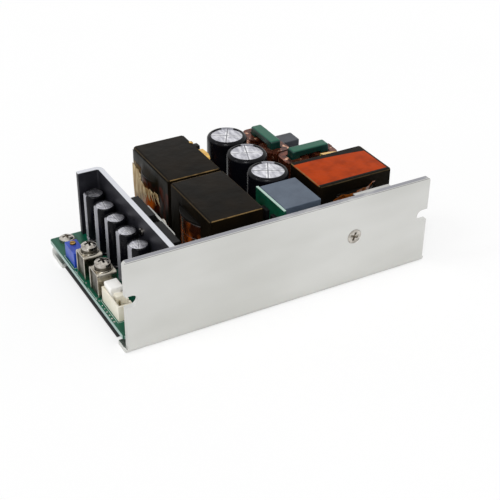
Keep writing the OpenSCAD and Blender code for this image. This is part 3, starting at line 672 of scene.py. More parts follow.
@dataclass(frozen=True)
class StudioFloor(Finish):
    """White that partly glows for the camera, so that only a faint shadow shows."""

    glow: float = 0.6

    def closure(self, shader: Shader) -> Value:
        """The white, part of it lit from itself.

        Args:
            shader: The shader being built.

        Returns:
            The closure.
        """
        seen = shader.node("ShaderNodeLightPath", {}, {}, "Is Camera Ray") * self.glow
        light = shader.node("ShaderNodeEmission", {}, {})
        return shader.node("ShaderNodeMixShader", {}, {0: seen, 1: shader.surface, 2: light})


def plated(name: str, colour: Colour, tint: Colour, roughness: float, lump: float) -> Finish:
    """A bare or plated metal."""
    return Finish(name, colour, tint, roughness, Grain.PLATED, 1.0, lump=lump)


class Paint:
    """The plain finishes that several pieces share."""

    FILM = Finish("black_film", srgb(8, 9, 10), srgb(15, 16, 17), 0.55, specular=0.15)
    SPACER = plated("turned_steel", srgb(190, 190, 186), srgb(170, 170, 166), 0.35, 6)
    SCREW = plated("nickel_screw", srgb(202, 197, 189), srgb(150, 144, 136), 0.18, 1.5)
    TERMINAL = plated("nickel_strip", srgb(198, 193, 182), srgb(150, 143, 130), 0.2, 4)
    # Painted shade: nickel as it looks in shade, for the inner sides of the terminals and the lock washers.
    NICKEL_IN_SHADE = Finish("shaded_nickel", srgb(74, 70, 62), srgb(100, 95, 84), 0.35, Grain.PLATED, 0.8, lump=3)
    PACKAGE = Finish("power_package", srgb(13, 13, 14), srgb(20, 20, 21), 0.5, specular=0.2)
    IVORY = Finish("ivory_nylon", srgb(226, 219, 198), srgb(238, 234, 220), 0.42, coat=0.1)
    PIN = plated("tinned_pin", srgb(206, 200, 180), srgb(180, 172, 150), 0.25, 1)
    WHITE = Finish("white_nylon", srgb(236, 234, 228), srgb(246, 245, 242), 0.38, coat=0.1)
    BLUE = Finish("blue_moulding", srgb(12, 48, 150), srgb(22, 68, 178), 0.35, lump=3)
    BRASS = plated("turned_brass", srgb(196, 158, 84), srgb(140, 106, 50), 0.28, 1)
    BOBBIN = Finish("bobbin_moulding", srgb(12, 11, 10), srgb(20, 18, 15), 0.45, specular=0.15)
    X_CAP = Finish("dark_case", srgb(52, 55, 61), srgb(62, 66, 73), 0.45, specular=0.35)
    FILM_CAP = Finish("slate_case", srgb(72, 83, 98), srgb(84, 96, 111), 0.45, specular=0.35)
    CLAMP = Finish("clamp_plate", srgb(186, 186, 183), srgb(200, 200, 197), 0.4, Grain.ROLLED, 1.0, lump=8)
    DIPPED = Finish("dark_dip", srgb(26, 32, 27), srgb(38, 46, 38), 0.4, Grain.SINTERED, coat=0.2, lump=3)
    Y_CAP = Finish("blue_dip", srgb(26, 72, 150), srgb(40, 92, 172), 0.35, Grain.SINTERED, coat=0.3, lump=2)
    SOLDER = plated("solder", srgb(196, 196, 192), srgb(160, 160, 158), 0.25, 0.6)
    INK = Finish("pale_ink", srgb(176, 200, 188), srgb(206, 220, 212), 0.6, lump=1)
    YELLOW = Finish("yellow_tape", srgb(206, 148, 26), srgb(236, 190, 62), 0.4, Grain.FILM, coat=0.3, lump=2)
    AMBER = Finish("amber_tape", srgb(126, 62, 16), srgb(168, 92, 26), 0.3, Grain.FILM, coat=0.4, lump=3)
    CERAMIC = Finish("small_ceramic", srgb(120, 96, 66), srgb(150, 124, 90), 0.5, Grain.SINTERED, lump=0.5)
    FLOOR = StudioFloor("studio_floor", LIT[:3], scaled(LIT[:3], 0.99), 0.9, specular=0.0, lump=90)


# ---------------------------------------------------------------- meshes


@dataclass(frozen=True)
class Span:
    """The box of a CAD node, in metres."""

    low: Vector
    high: Vector

    @classmethod
    @lru_cache(maxsize=None)
    def of(cls, node: str) -> "Span":
        """The box of one node, worked out once."""
        return cls(*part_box(node))

    @property
    def centre(self) -> Vector:
        """The middle of the box."""
        return (self.low + self.high) / 2

    @property
    def size(self) -> Vector:
        """The lengths of its sides."""
        return self.high - self.low


def linked(name: str, data: Optional[bpy.types.ID]) -> bpy.types.Object:
    """Put a new object in the scene.

    Args:
        name: Its name.
        data: Its mesh, lamp or camera.

    Returns:
        The object.
    """
    made = bpy.data.objects.new(name, data)
    bpy.context.collection.objects.link(made)
    return made


def saved(name: str, mesh: bmesh.types.BMesh) -> bpy.types.Mesh:
    """Write a bmesh to mesh data and let it go.

    Args:
        name: The data's name.
        mesh: The bmesh.

    Returns:
        The data.
    """
    data = bpy.data.meshes.new(name)
    mesh.to_mesh(data)
    mesh.free()
    return data


class Piece:
    """One mesh being made with bmesh operators, then handed over dressed."""

    def __init__(self, name: str) -> None:
        """Start an empty mesh.

        Args:
            name: The finished object's name.
        """
        self.name = name
        self.mesh = bmesh.new()

    def block(self, low: Place, high: Place, round_by: float = 0.0, steps: int = 2) -> list:
        """Add a box with rounded edges.

        Args:
            low: Lowest corner, in metres.
            high: Highest corner, in metres.
            round_by: Radius of its edges, in millimetres.
            steps: Facets of each rounded edge.

        Returns:
            The new vertices.
        """
        low, high = Vector(low), Vector(high)
        size = high - low
        matrix = Matrix.Translation((low + high) / 2) @ Matrix.Diagonal((*size, 1))
        made = bmesh.ops.create_cube(self.mesh, size=1.0, matrix=matrix)["verts"]
        if round_by:
            edges = list({e for v in made for e in v.link_edges})
            made = self.bevel(edges, min(round_by * MM, min(size) * 0.45), steps)
        return made

    def bevel(self, geom: Iterable, width: float, steps: int, affect: str = "EDGES") -> list:
        """Round some edges or corners.

        Args:
            geom: The edges or vertices.
            width: The width of the rounding, in metres.
            steps: Its facets.
            affect: EDGES or VERTICES.

        Returns:
            The vertices of the new faces.
        """
        shape = {"segments": steps, "profile": 0.5, "affect": affect, "material": -1}
        done = bmesh.ops.bevel(self.mesh, geom=list(geom), offset=width, **shape)
        return list({v for f in done["faces"] for v in f.verts} | set(done["verts"]))

    def sweep(self, line: Iterable[Place], centre: Place, angle: float, steps: int) -> None:
        """Turn a line of points round an upright axis.

        Args:
            line: The points, in metres.
            centre: A place on the axis.
            angle: How far they turn, in radians.
            steps: Facets of the turn.
        """
        points = [self.mesh.verts.new(place) for place in line]
        edges = [self.mesh.edges.new(pair) for pair in zip(points, points[1:])]
        how = {"axis": (0, 0, 1), "angle": angle, "steps": steps, "use_merge": angle == FULL_TURN}
        bmesh.ops.spin(self.mesh, geom=points + edges, cent=centre, **how)

    def outward(self, verts: Iterable) -> None:
        """Turn the faces at some vertices outward."""
        faces = list({f for v in verts for f in v.link_faces})
        bmesh.ops.recalc_face_normals(self.mesh, faces=faces)

    def lathe(self, profile: Sequence[tuple[float, float]], foot: Place, steps: int = 48) -> list:
        """Spin a profile of (radius, height) points all the way round.

        Args:
            profile: The points, in metres.
            foot: Where the axis meets height nought.
            steps: Facets of the full turn.

        Returns:
            The new vertices.
        """
        foot = Vector(foot)
        before = set(self.mesh.verts)
        self.sweep([foot + Vector((r, 0, h)) for r, h in profile], foot, FULL_TURN, steps)
        made = [v for v in self.mesh.verts if v not in before]
        bmesh.ops.remove_doubles(self.mesh, verts=made, dist=WELD)
        made = [v for v in self.mesh.verts if v not in before]
        self.outward(made)
        return made

    def strip(self, centre_line: Sequence[Place], widths: Sequence[float], across: Place) -> None:
        """Add a thin flat strip along a line, open on both sides, to be thickened later.

        Args:
            centre_line: Places along its middle, in metres.
            widths: Its width at each place, in metres.
            across: The direction of its width.
        """
        side = Vector(across).normalized()
        count = len(centre_line) - 1
        grid = bmesh.ops.create_grid(self.mesh, x_segments=1, y_segments=count, size=1.0)["verts"]
        grid.sort(key=lambda v: (round(v.co.y, 5), round(v.co.x, 5)))
        for i, (place, width) in enumerate(zip(centre_line, widths)):
            for vert, sign in zip(grid[2 * i : 2 * i + 2], (-1, 1)):
                vert.co = Vector(place) + side * width * sign / 2

    def skin(self, node: str) -> None:
        """Take a merged copy of a CAD node's mesh, with its flat faces in one piece.

        Args:
            node: The node's name.
        """
        self.mesh.from_mesh(frame["nodes"][node].data)
        bmesh.ops.remove_doubles(self.mesh, verts=self.mesh.verts, dist=SKIN_WELD)
        bmesh.ops.dissolve_limit(
            self.mesh,
            angle_limit=FLAT_ANGLE,
            use_dissolve_boundaries=False,
            verts=self.mesh.verts,
            edges=self.mesh.edges,
            delimit=set(),
        )

    def hand_over(
        self,
        finish: Finish,
        slot: Optional[str],
        replaces: Sequence[str] = (),
        body: str = "root",
        bevel: float = 0.0,
        thick: float = 0.0,
    ) -> bpy.types.Object:
        """Make the object, dress it, hang it on its body and hide the CAD nodes it stands for.

        Args:
            finish: Its finish.
            slot: The record's material slot; not used.
            replaces: CAD nodes it stands for.
            body: The body it moves with.
            bevel: Width of a closing bevel on sharp edges, in millimetres.
            thick: Thickness given to an open sheet, in millimetres.

        Returns:
            The object.
        """
        for face in self.mesh.faces:
            face.smooth = True
        for edge in self.mesh.edges:
            edge.smooth = len(edge.link_faces) == 2 and edge.calc_face_angle(0) < SMOOTH_ANGLE
        data = saved(self.name, self.mesh)
        made = linked(self.name, data)
        data.materials.append(finish.material())
        if thick:
            solid = made.modifiers.new("thickness", "SOLIDIFY")
            solid.thickness = thick * MM
            solid.offset = 0.0
        if bevel:
            rounding = made.modifiers.new("edges", "BEVEL")
            rounding.width = bevel * MM
            rounding.segments = 2
            rounding.limit_method = "ANGLE"
            rounding.angle_limit = BEVEL_ANGLE
            rounding.harden_normals = True
        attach(made, body)
        if replaces:
            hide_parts(*replaces)
        LOG.info("%s: %d faces", self.name, len(data.polygons))
        return made


SLOTS = {part["node"]: part["material_slot"] for part in frame["record"]["subparts"]}


def skin(node: str, finish: Finish, bevel: float = 0.15, body: str = "root") -> bpy.types.Object:
    """Dress one CAD node in a rounded copy of itself.

    Args:
        node: The node's name.
        finish: Its finish.
        bevel: Width of its rounded edges, in millimetres.
        body: The body it moves with.

    Returns:
        The copy.
    """
    piece = Piece(f"{node}_dressed")
    piece.skin(node)
    return piece.hand_over(finish, SLOTS[node], [node], body, bevel)


# ---------------------------------------------------------------- sub-assemblies


@dataclass
class Chassis:
    """Folded sheet, insulating film and the spacers under the board."""

    arris: float = 0.16

    def build(self) -> None:
        """Dress the sheet metal and the film."""
        span = Span.of("chassis")
        sheet = WallSheet(
            "folded_aluminium", srgb(200, 200, 196), srgb(213, 213, 210), 0.4, Grain.ROLLED, 1.0,
            top=span.high.z, near=span.low.y
        )
        skin("chassis", sheet, self.arris)
        skin("insulating_sheet", Paint.FILM, 0.0)
        skin("board_spacers", Paint.SPACER, 0.1)


@dataclass
class CanCapacitor:
    """An upright can capacitor: shrink sleeve, curled rim and scored metal top."""

    node: str
    turn: float
    stripe_angle: float = 183.0
    shoulder: float = 0.11
    rim: float = 0.84
    crimp: float = 0.2
    steps: int = 64
    sunk: float = 0.35
    wall: float = 0.985
    waist: float = 0.075

    @property
    def foot(self) -> Vector:
        """Where the can stands."""
        span = Span.of(self.node)
        return Vector((span.centre.x, span.centre.y, span.low.z))

    @property
    def radius(self) -> float:
        """The can's radius."""
        return Span.of(self.node).size.x / 2

    @property
    def height(self) -> float:
        """The can's height."""
        return Span.of(self.node).size.z

    def build(self) -> None:
        """Make the sleeve and the top."""
        self._sleeve()
        self._top()

    def _sleeve(self) -> None:
        """Spin the sleeve, necked above the seal and rolled over the rim."""
        foot, radius, height = self.foot, self.radius, self.height
        piece = Piece(f"{self.node}_sleeve")
        bend = radius * self.shoulder * 2
        neck = radius * 2 * self.crimp
        tube, floor = radius * self.wall, height - self.sunk * MM * 1.6
        profile = [(0, 0), (radius * 0.9, 0), (tube, radius * 0.06), (tube, neck * 0.72)]
        for t in range(1, 6):
            pinch = radius * self.waist * math.sin(math.pi * t / 6)
            profile.append((tube - pinch, neck * (0.72 + 0.56 * t / 6)))
        profile += [(tube, neck * 1.28), (radius, neck * 1.42), (radius, height - bend)]
        for step in range(1, 7):
            a = math.pi / 2 * step / 6
            profile.append((radius - bend * (1 - math.cos(a)), height - bend * (1 - math.sin(a))))
        inner = radius * self.rim
        profile += [(inner + 0.1 * MM, height), (inner, height - 0.08 * MM), (inner, floor), (0, floor)]
        piece.lathe(profile, foot, self.steps)
        stripe = Sleeve(
            f"sleeve_{self.node}", srgb(7, 7, 11), srgb(12, 12, 17), 0.22, specular=0.12,
            centre=(foot.x, foot.y), stripe=srgb(150, 150, 156), stripe_angle=self.stripe_angle
        )
        piece.hand_over(stripe, SLOTS[self.node], [self.node])

    def _top(self) -> None:
        """Press two crossing score lines into the bare top."""
        foot, radius, height = self.foot, self.radius, self.height
        piece = Piece(f"{self.node}_top")
        inner = radius * self.rim
        level = height - self.sunk * MM
        crown = [(inner, level - 0.25 * MM), (inner, level - 0.04 * MM), (inner * 0.95, level)]
        crown += [(inner * share, level + 0.02 * MM) for share in (0.84, 0.7, 0.55, 0.4, 0.25, 0.12)]
        crown.append((0, level))
        piece.lathe(crown, foot, self.steps)
        groove = 0.035 * radius
        cut = Matrix.Rotation(self.turn, 3, "Z")
        for axis in (0, 1):
            normal = cut @ Vector((1 - axis, axis, 0))
            for offset in (-groove, 0.0, groove):
                everything = piece.mesh.verts[:] + piece.mesh.edges[:] + piece.mesh.faces[:]
                bmesh.ops.bisect_plane(
                    piece.mesh, geom=everything, dist=1e-7, plane_co=foot + normal * offset, plane_no=normal
                )
        for vert in piece.mesh.verts:
            local = cut.inverted() @ (vert.co - foot)
            reach = math.hypot(local.x, local.y)
            if min(abs(local.x), abs(local.y)) < groove * 0.1 and reach < inner * 0.86:
                vert.co.z -= 0.16 * MM
        plate = SpunTop(
            f"top_{self.node}", srgb(164, 164, 172), srgb(226, 226, 232), 0.3, Grain.PLATED, 1.0,
            centre=(foot.x, foot.y), radius=inner / MM, turn=self.turn
        )
        piece.hand_over(plate, "cap_top")


@dataclass
class OutputEnd:
    """Heat sink, power packages, output capacitors, terminals, header and trimmer."""

    stripes: tuple[float, ...] = (186.0, 181.0, 178.0, 184.0, 176.0)
    cheek_inset: Triple = (0.5, 0.9, 0.4)
    cheek_top: float = 1.0
    cheek: float = 0.6
    lip_low: Triple = (-0.3, -0.1, 0.0)
    lip_high: Triple = (0.95, 0.1, 0.1)
    lip: float = 2.1
    step_low: Triple = (0.9, -2.6, -6.0)
    step_high: Triple = (0.8, 0.2, -2.3)
    turns: tuple[float, ...] = (-0.35, 0.2, 0.05, -0.15, 0.4)

    def build(self) -> None:
        """Build everything left of the wound parts."""
        self.heat_sink()
        for i, (stripe, turn) in enumerate(zip(self.stripes, self.turns)):
            CanCapacitor(f"output_capacitor_{i + 1}", turn, stripe, shoulder=0.075, rim=0.87).build()
        self.terminals()
        self.header()
        self.trimmer()

    def heat_sink(self) -> None:
        """The folded plate with its packages, clip and screw."""
        top = Span.of("output_heat_sink").high.z
        plate = SheetEdge(
            "charcoal_plate", srgb(27, 27, 32), srgb(40, 40, 46), 0.42, Grain.ROLLED, 0.25,
            specular=0.2, edge=srgb(214, 216, 222), top=top, lump=9
        )
        skin("output_heat_sink", plate, 0.18)
        skin("output_rectifiers", Paint.PACKAGE, 0.2)
        skin("rectifier_clip", Paint.SPACER, 0.12)
        skin("clip_screw", Paint.SCREW, 0.08)

    def terminals(self) -> None:
        """Two bent strips with their screws and washers."""
        for node in ("positive_terminal", "negative_terminal"):
            skin(node, Paint.TERMINAL, 0.22)
            span = Span.of(node)
            # Blocks inside each terminal, in shaded nickel: painted shade on its inner sides.
            piece = Piece(f"{node}_shaded_cheeks")
            inset = Vector(self.cheek_inset) * MM
            near, far = span.low + inset, span.high - inset
            far.z = span.high.z - self.cheek_top * MM
            for x in (near.x, far.x - self.cheek * MM):
                piece.block((x, near.y, near.z), (x + self.cheek * MM, far.y, far.z), 0.2)
            piece.hand_over(Paint.NICKEL_IN_SHADE, "terminal_metal")
        skin("flat_washers", Paint.TERMINAL, 0.08)
        # Lock washers in shaded nickel: painted shade under the flat washers.
        skin("lock_washers", Paint.NICKEL_IN_SHADE, 0.12)
        screws, plain = Span.of("terminal_screws"), Paint.SCREW
        radius = screws.size.x / 2
        middles = (screws.low.y + radius, screws.high.y - radius)
        driven = DrivenHead(
            "terminal_screw", plain.colour, plain.tint, plain.roughness, plain.grain,
            plain.metallic, lump=plain.lump,
            heads=tuple((screws.centre.x, y, screws.high.z) for y in middles)
        )
        skin("terminal_screws", driven, 0.1)

    def header(self) -> None:
        """Shrouded pin header and the plug on its far end."""
        skin("output_connector", Paint.IVORY, 0.14)
        skin("connector_pins", Paint.PIN, 0.1)
        skin("shorting_plug", Paint.WHITE, 0.22)
        plug = Span.of("shorting_plug")
        top = Vector((plug.low.x, plug.low.y, plug.high.z))
        lip = Piece("plug_lip")
        low = top + Vector(self.lip_low) * MM - Vector((0, 0, self.lip * MM))
        lip.block(low, plug.high + Vector(self.lip_high) * MM, 0.5, 3)
        lip.hand_over(Paint.WHITE, SLOTS["shorting_plug"])
        step = Piece("plug_step")
        right = Vector((plug.high.x, plug.low.y, plug.high.z))
        step.block(top + Vector(self.step_low) * MM, right + Vector(self.step_high) * MM, 0.3)
        step.hand_over(Paint.IVORY, SLOTS["shorting_plug"])

    def trimmer(self) -> None:
        """Multi-turn trimmer with its slotted adjuster."""
        skin("trimmer_body", Paint.BLUE, 0.18)
        skin("trimmer_screw", Paint.BRASS, 0.08, "trimmer_screw")


@dataclass
class WoundPart:
    """Ferrite core on a bobbin, its winding and the tape round it."""

    name: str
    cream: bool = False
    banded: bool = False
    glow_low: float = 0.0
    seed: int = 1
    shreds: int = 32
    yellow_spans: tuple[tuple[float, float], ...] = ()
    yellow_side: tuple[float, float] = (1.0, 0.0)
    lug: bool = False
    scraps: bool = False
    # Painted highlight colours for the arrises: line on the tape, shade (a dimmer one) on the core.
    line: Colour = srgb(128, 104, 66)
    shade: Colour = srgb(66, 54, 34)
    band: Colour = srgb(176, 60, 3)
    film_share: float = 0.93
    lap_share: float = 0.27
    lap_step: float = 0.31
    tabs: tuple[Triple, ...] = ((1.2, 1.2, 0.12), (0.45, 1.4, 9.0))
    tab_corner: Triple = (0.5, 9.6, 0.0)
    lug_corner: Triple = (1.9, 7.6, 0.0)
    lug_size: Triple = (2.5, 3.0, 5.0)
    tapered: tuple[float, ...] = (1.0, 1.0, 0.88, 0.66, 0.4, 0.05)
    ripples: tuple[Triple, ...] = ((0.32, 9, 5), (0.26, 17, -9), (0.16, 31, 14), (0.2, 5, -19))

    @property
    def core(self) -> Span:
        """The core's box."""
        return Span.of(f"{self.name}_core")

    @property
    def coil(self) -> Span:
        """The winding's box."""
        return Span.of(f"{self.name}_winding")

    def build(self) -> None:
        """Dress the core, bobbin, winding and tape."""
        core = self.core
        tape = Span.of(f"{self.name}_tape")
        lengthwise = core.size.x < core.size.y
        finish = CoreFinish(
            f"{self.name}_ferrite", srgb(15, 12, 8), srgb(23, 18, 11), 0.4, Grain.FILM,
            specular=0.04, low=tuple(core.low), high=tuple(core.high), line=self.shade,
            arrises=(lengthwise, not lengthwise), band=self.band, margins=(-1.0, 0.9, 1.0, 2.2),
            banded=self.banded, lump=9
        )
        skin(f"{self.name}_core", finish, 0.35)
        film = replace(
            finish, name=f"{self.name}_film", colour=srgb(15, 12, 7), tint=srgb(24, 18, 10),
            roughness=0.34, low=tuple(tape.low), high=tuple(tape.high), line=self.line,
            arrises=(not lengthwise, lengthwise)
        )
        skin(f"{self.name}_tape", film, 0.05)
        skin(f"{self.name}_bobbin", Paint.BOBBIN, 0.15)
        wound = WoundTape(
            f"{self.name}_wound", srgb(38, 17, 9), srgb(70, 28, 12), 0.28, Grain.FILM, coat=0.4,
            glow=srgb(176, 82, 22), centre=tuple(self.coil.centre), low=self.glow_low
        )
        skin(f"{self.name}_winding", wound, 0.0)
        self.wraps(wound)
        if self.yellow_spans:
            self.yellow_bits()
        if self.scraps:
            self.tape_scraps()
        if self.cream:
            self.outer_wrap()
            self.curtain()

    def wraps(self, wound: WoundTape) -> None:
        """Lapped tape round the winding, each turn a little askew.

        Args:
            wound: The winding's finish.
        """
        coil = self.coil
        draw = random.Random(self.seed)
        radius = max(coil.size.x, coil.size.y) / 2
        piece = Piece(f"{self.name}_tape_laps")
        for lap in range(3):
            low = coil.low.z + coil.size.z * (0.06 + self.lap_step * lap)
            high = low + coil.size.z * self.lap_share
            out = radius + (0.06 + 0.05 * (lap % 2)) * MM
            profile = [(out, low), (out + 0.03 * MM, (low + high) / 2), (out, high)]
            ring = piece.lathe(profile, (coil.centre.x, coil.centre.y, 0), 64)
            tips = [Matrix.Rotation(draw.uniform(-0.012, 0.012), 3, axis) for axis in "XY"]
            bmesh.ops.rotate(piece.mesh, verts=ring, cent=coil.centre, matrix=tips[0] @ tips[1])
        outer = replace(
            wound, name=f"{self.name}_laps", colour=srgb(46, 20, 9), tint=srgb(88, 36, 14),
            roughness=0.24, coat=0.5, glow=srgb(190, 92, 24)
        )
        piece.hand_over(outer, "tape_amber", thick=0.04)

    def yellow_bits(self) -> None:
        """Yellow tape and a dark lug showing where the winding swells past the core."""
        core, coil = self.core, self.coil
        side = Vector((*self.yellow_side, 0))
        radius = max(coil.size.x, coil.size.y) / 2
        facing = math.atan2(side.y, side.x)
        inner = (core.size.x if side.x else core.size.y) / 2 - 0.6 * MM
        piece = Piece(f"{self.name}_yellow_tape")
        for start, end in self.yellow_spans:
            low = core.high.z - 0.12 * MM
            points = [(radius - 0.15 * MM, low - 7 * MM), (radius + 0.05 * MM, low - 0.5 * MM)]
            points += [(inner, low + 0.07 * MM)]
            angle = facing + math.radians(start)
            out = Vector((math.cos(angle), math.sin(angle), 0))
            axis = Vector((coil.centre.x, coil.centre.y, 0))
            bent = [axis + out * r + Vector((0, 0, h)) for r, h in points]
            piece.sweep(bent, axis, math.radians(end - start), 8)
        piece.outward(piece.mesh.verts)
        if self.lug:
            side = Vector((core.high.x, coil.centre.y, core.high.z))
            corner = side + Vector(self.tab_corner) * MM
            for reach in self.tabs:
                piece.block(corner - Vector(reach) * MM, corner)
            peg = Piece(f"{self.name}_lug")
            corner = side + Vector(self.lug_corner) * MM
            peg.block(corner - Vector(self.lug_size) * MM, corner, 0.4)
            peg.hand_over(Paint.BOBBIN, "bobbin_black")
        piece.hand_over(Paint.YELLOW, "tape_yellow", thick=0.08)

    def tape_scraps(self) -> None:
        """Crumpled amber ends of tape standing off the near face."""
        core, coil = self.core, self.coil
        draw = random.Random(self.seed + 9)
        piece = Piece(f"{self.name}_tape_ends")
        ends = ((5.6, -6.5, 5.0, 2.6), (4.4, -1.0, 8.6, 2.2), (6.8, -10.5, -2.0, 2.4))
        for level, left, right, wide in ends:
            line, widths = [], []
            for step in range(9):
                t = step / 8
                x = coil.centre.x + (left + (right - left) * t) * MM
                out = 0.5 + self.bulge_at(x) + 0.35 * math.sin(7 * t + level)
                drop = level - 1.1 * t + draw.uniform(-0.25, 0.25)
                line.append((x, core.low.y - out * MM, core.high.z - drop * MM))
                swell = 0.25 + math.sin(math.pi * min(1, t + 0.08))
                widths.append(wide * swell * MM * draw.uniform(0.7, 1.1))
            piece.strip(line, widths, (0, -0.3, 1))
        piece.hand_over(Paint.AMBER, "tape_amber", thick=0.06)

    def bulge_at(self, x: float) -> float:
        """How far the winding swells past the core's near face at one place.

        Args:
            x: The place along the face, in metres.

        Returns:
            The swelling in millimetres.
        """
        coil = self.coil
        across = math.sqrt(max(0.0, (coil.size.y / 2) ** 2 - (x - coil.centre.x) ** 2))
        return max(0.0, across - self.core.size.y / 2) / MM

    def outer_wrap(self) -> None:
        """Loose glossy film over the left face of the wound part."""
        core = self.core
        draw = random.Random(self.seed + 40)
        piece = Piece(f"{self.name}_outer_film")
        across, down = 36, 30
        grid = bmesh.ops.create_grid(piece.mesh, x_segments=across, y_segments=down, size=0.5)["verts"]
        phases = [draw.uniform(0, 6.28) for _ in range(5)]
        top = core.high.z - 0.8 * MM
        tall = core.size.z * self.film_share
        for vert in grid:
            u, v = vert.co.x + 0.5, vert.co.y + 0.5
            edge = min(1.0, 6 * min(u, 1 - u, 1 - v))
            waves = zip(self.ripples, phases)
            ripple = sum(high * math.sin(a * u + b * v + phase) for (high, a, b), phase in waves)
            out = 0.2 + 0.22 * (1 + ripple) * edge + self.bulge(core.size.y * (u - 0.5), tall * (1 - v))
            vert.co = Vector((core.low.x - out * MM, core.low.y + core.size.y * u, top - tall * (1 - v)))
        finish = WrapFinish(
            f"{self.name}_outer", srgb(13, 16, 12), srgb(27, 21, 12), 0.3, Grain.FILM,
            specular=0.06, low=tuple(core.low), high=tuple(core.high), tan=srgb(112, 92, 58),
            maroon=srgb(72, 24, 9), glow=srgb(186, 88, 22)
        )
        piece.hand_over(finish, "tape_amber", thick=0.06)

    def bulge(self, along: float, down: float) -> float:
        """How far the winding swells past the core's left face.

        Args:
            along: Distance from the middle of the face, in metres.
            down: Distance below the top of the film, in metres.

        Returns:
            The swelling in millimetres.
        """
        radius = self.coil.size.x / 2 + 0.2 * MM
        swell = math.sqrt(max(0.0, radius**2 - along**2)) - self.core.size.x / 2
        start = min(1.0, max(0.0, (down / MM - 2.2) / 2.6))
        return max(0.0, swell) / MM * start * start * (3 - 2 * start)

    def curtain(self) -> None:
        """Torn margin tape hanging down the left face."""
        core = self.core
        draw = random.Random(self.seed + 5)
        piece = Piece(f"{self.name}_margin_tape")
        top = core.high.z
        for i in range(self.shreds):
            share = i / (self.shreds - 1)
            y = core.high.y - 1.2 * MM - core.size.y * 0.7 * share
            start = (6.4 + 2.6 * share + draw.uniform(-0.4, 0.4)) * MM
            end = (25.0 - 13.0 * share + draw.uniform(-4.0, 2.2)) * MM
            end = max(end, start + 1.2 * MM)
            out = (0.95 + self.bulge(y - core.centre.y, 9 * MM) + draw.uniform(0.0, 0.3)) * MM
            lean = draw.uniform(0.6, 1.6 + 1.8 * share) * MM
            line = []
            for step in range(6):
                t = step / 5
                bow = 0.2 * MM * math.sin(math.pi * t)
                line.append((core.low.x - out - bow, y - lean * t, top - start - (end - start) * t))
            wide = draw.uniform(0.8, 2.1) * MM
            piece.strip(line, [wide * share for share in self.tapered], (0, 1, 0))
        torn = Shreds(
            f"{self.name}_cream", srgb(150, 116, 70), srgb(222, 204, 160), 0.5, Grain.FILM,
            specular=0.2, tip=srgb(150, 84, 40), top=top - 5 * MM, drop=22
        )
        piece.hand_over(torn, "tape_cream", thick=0.05)


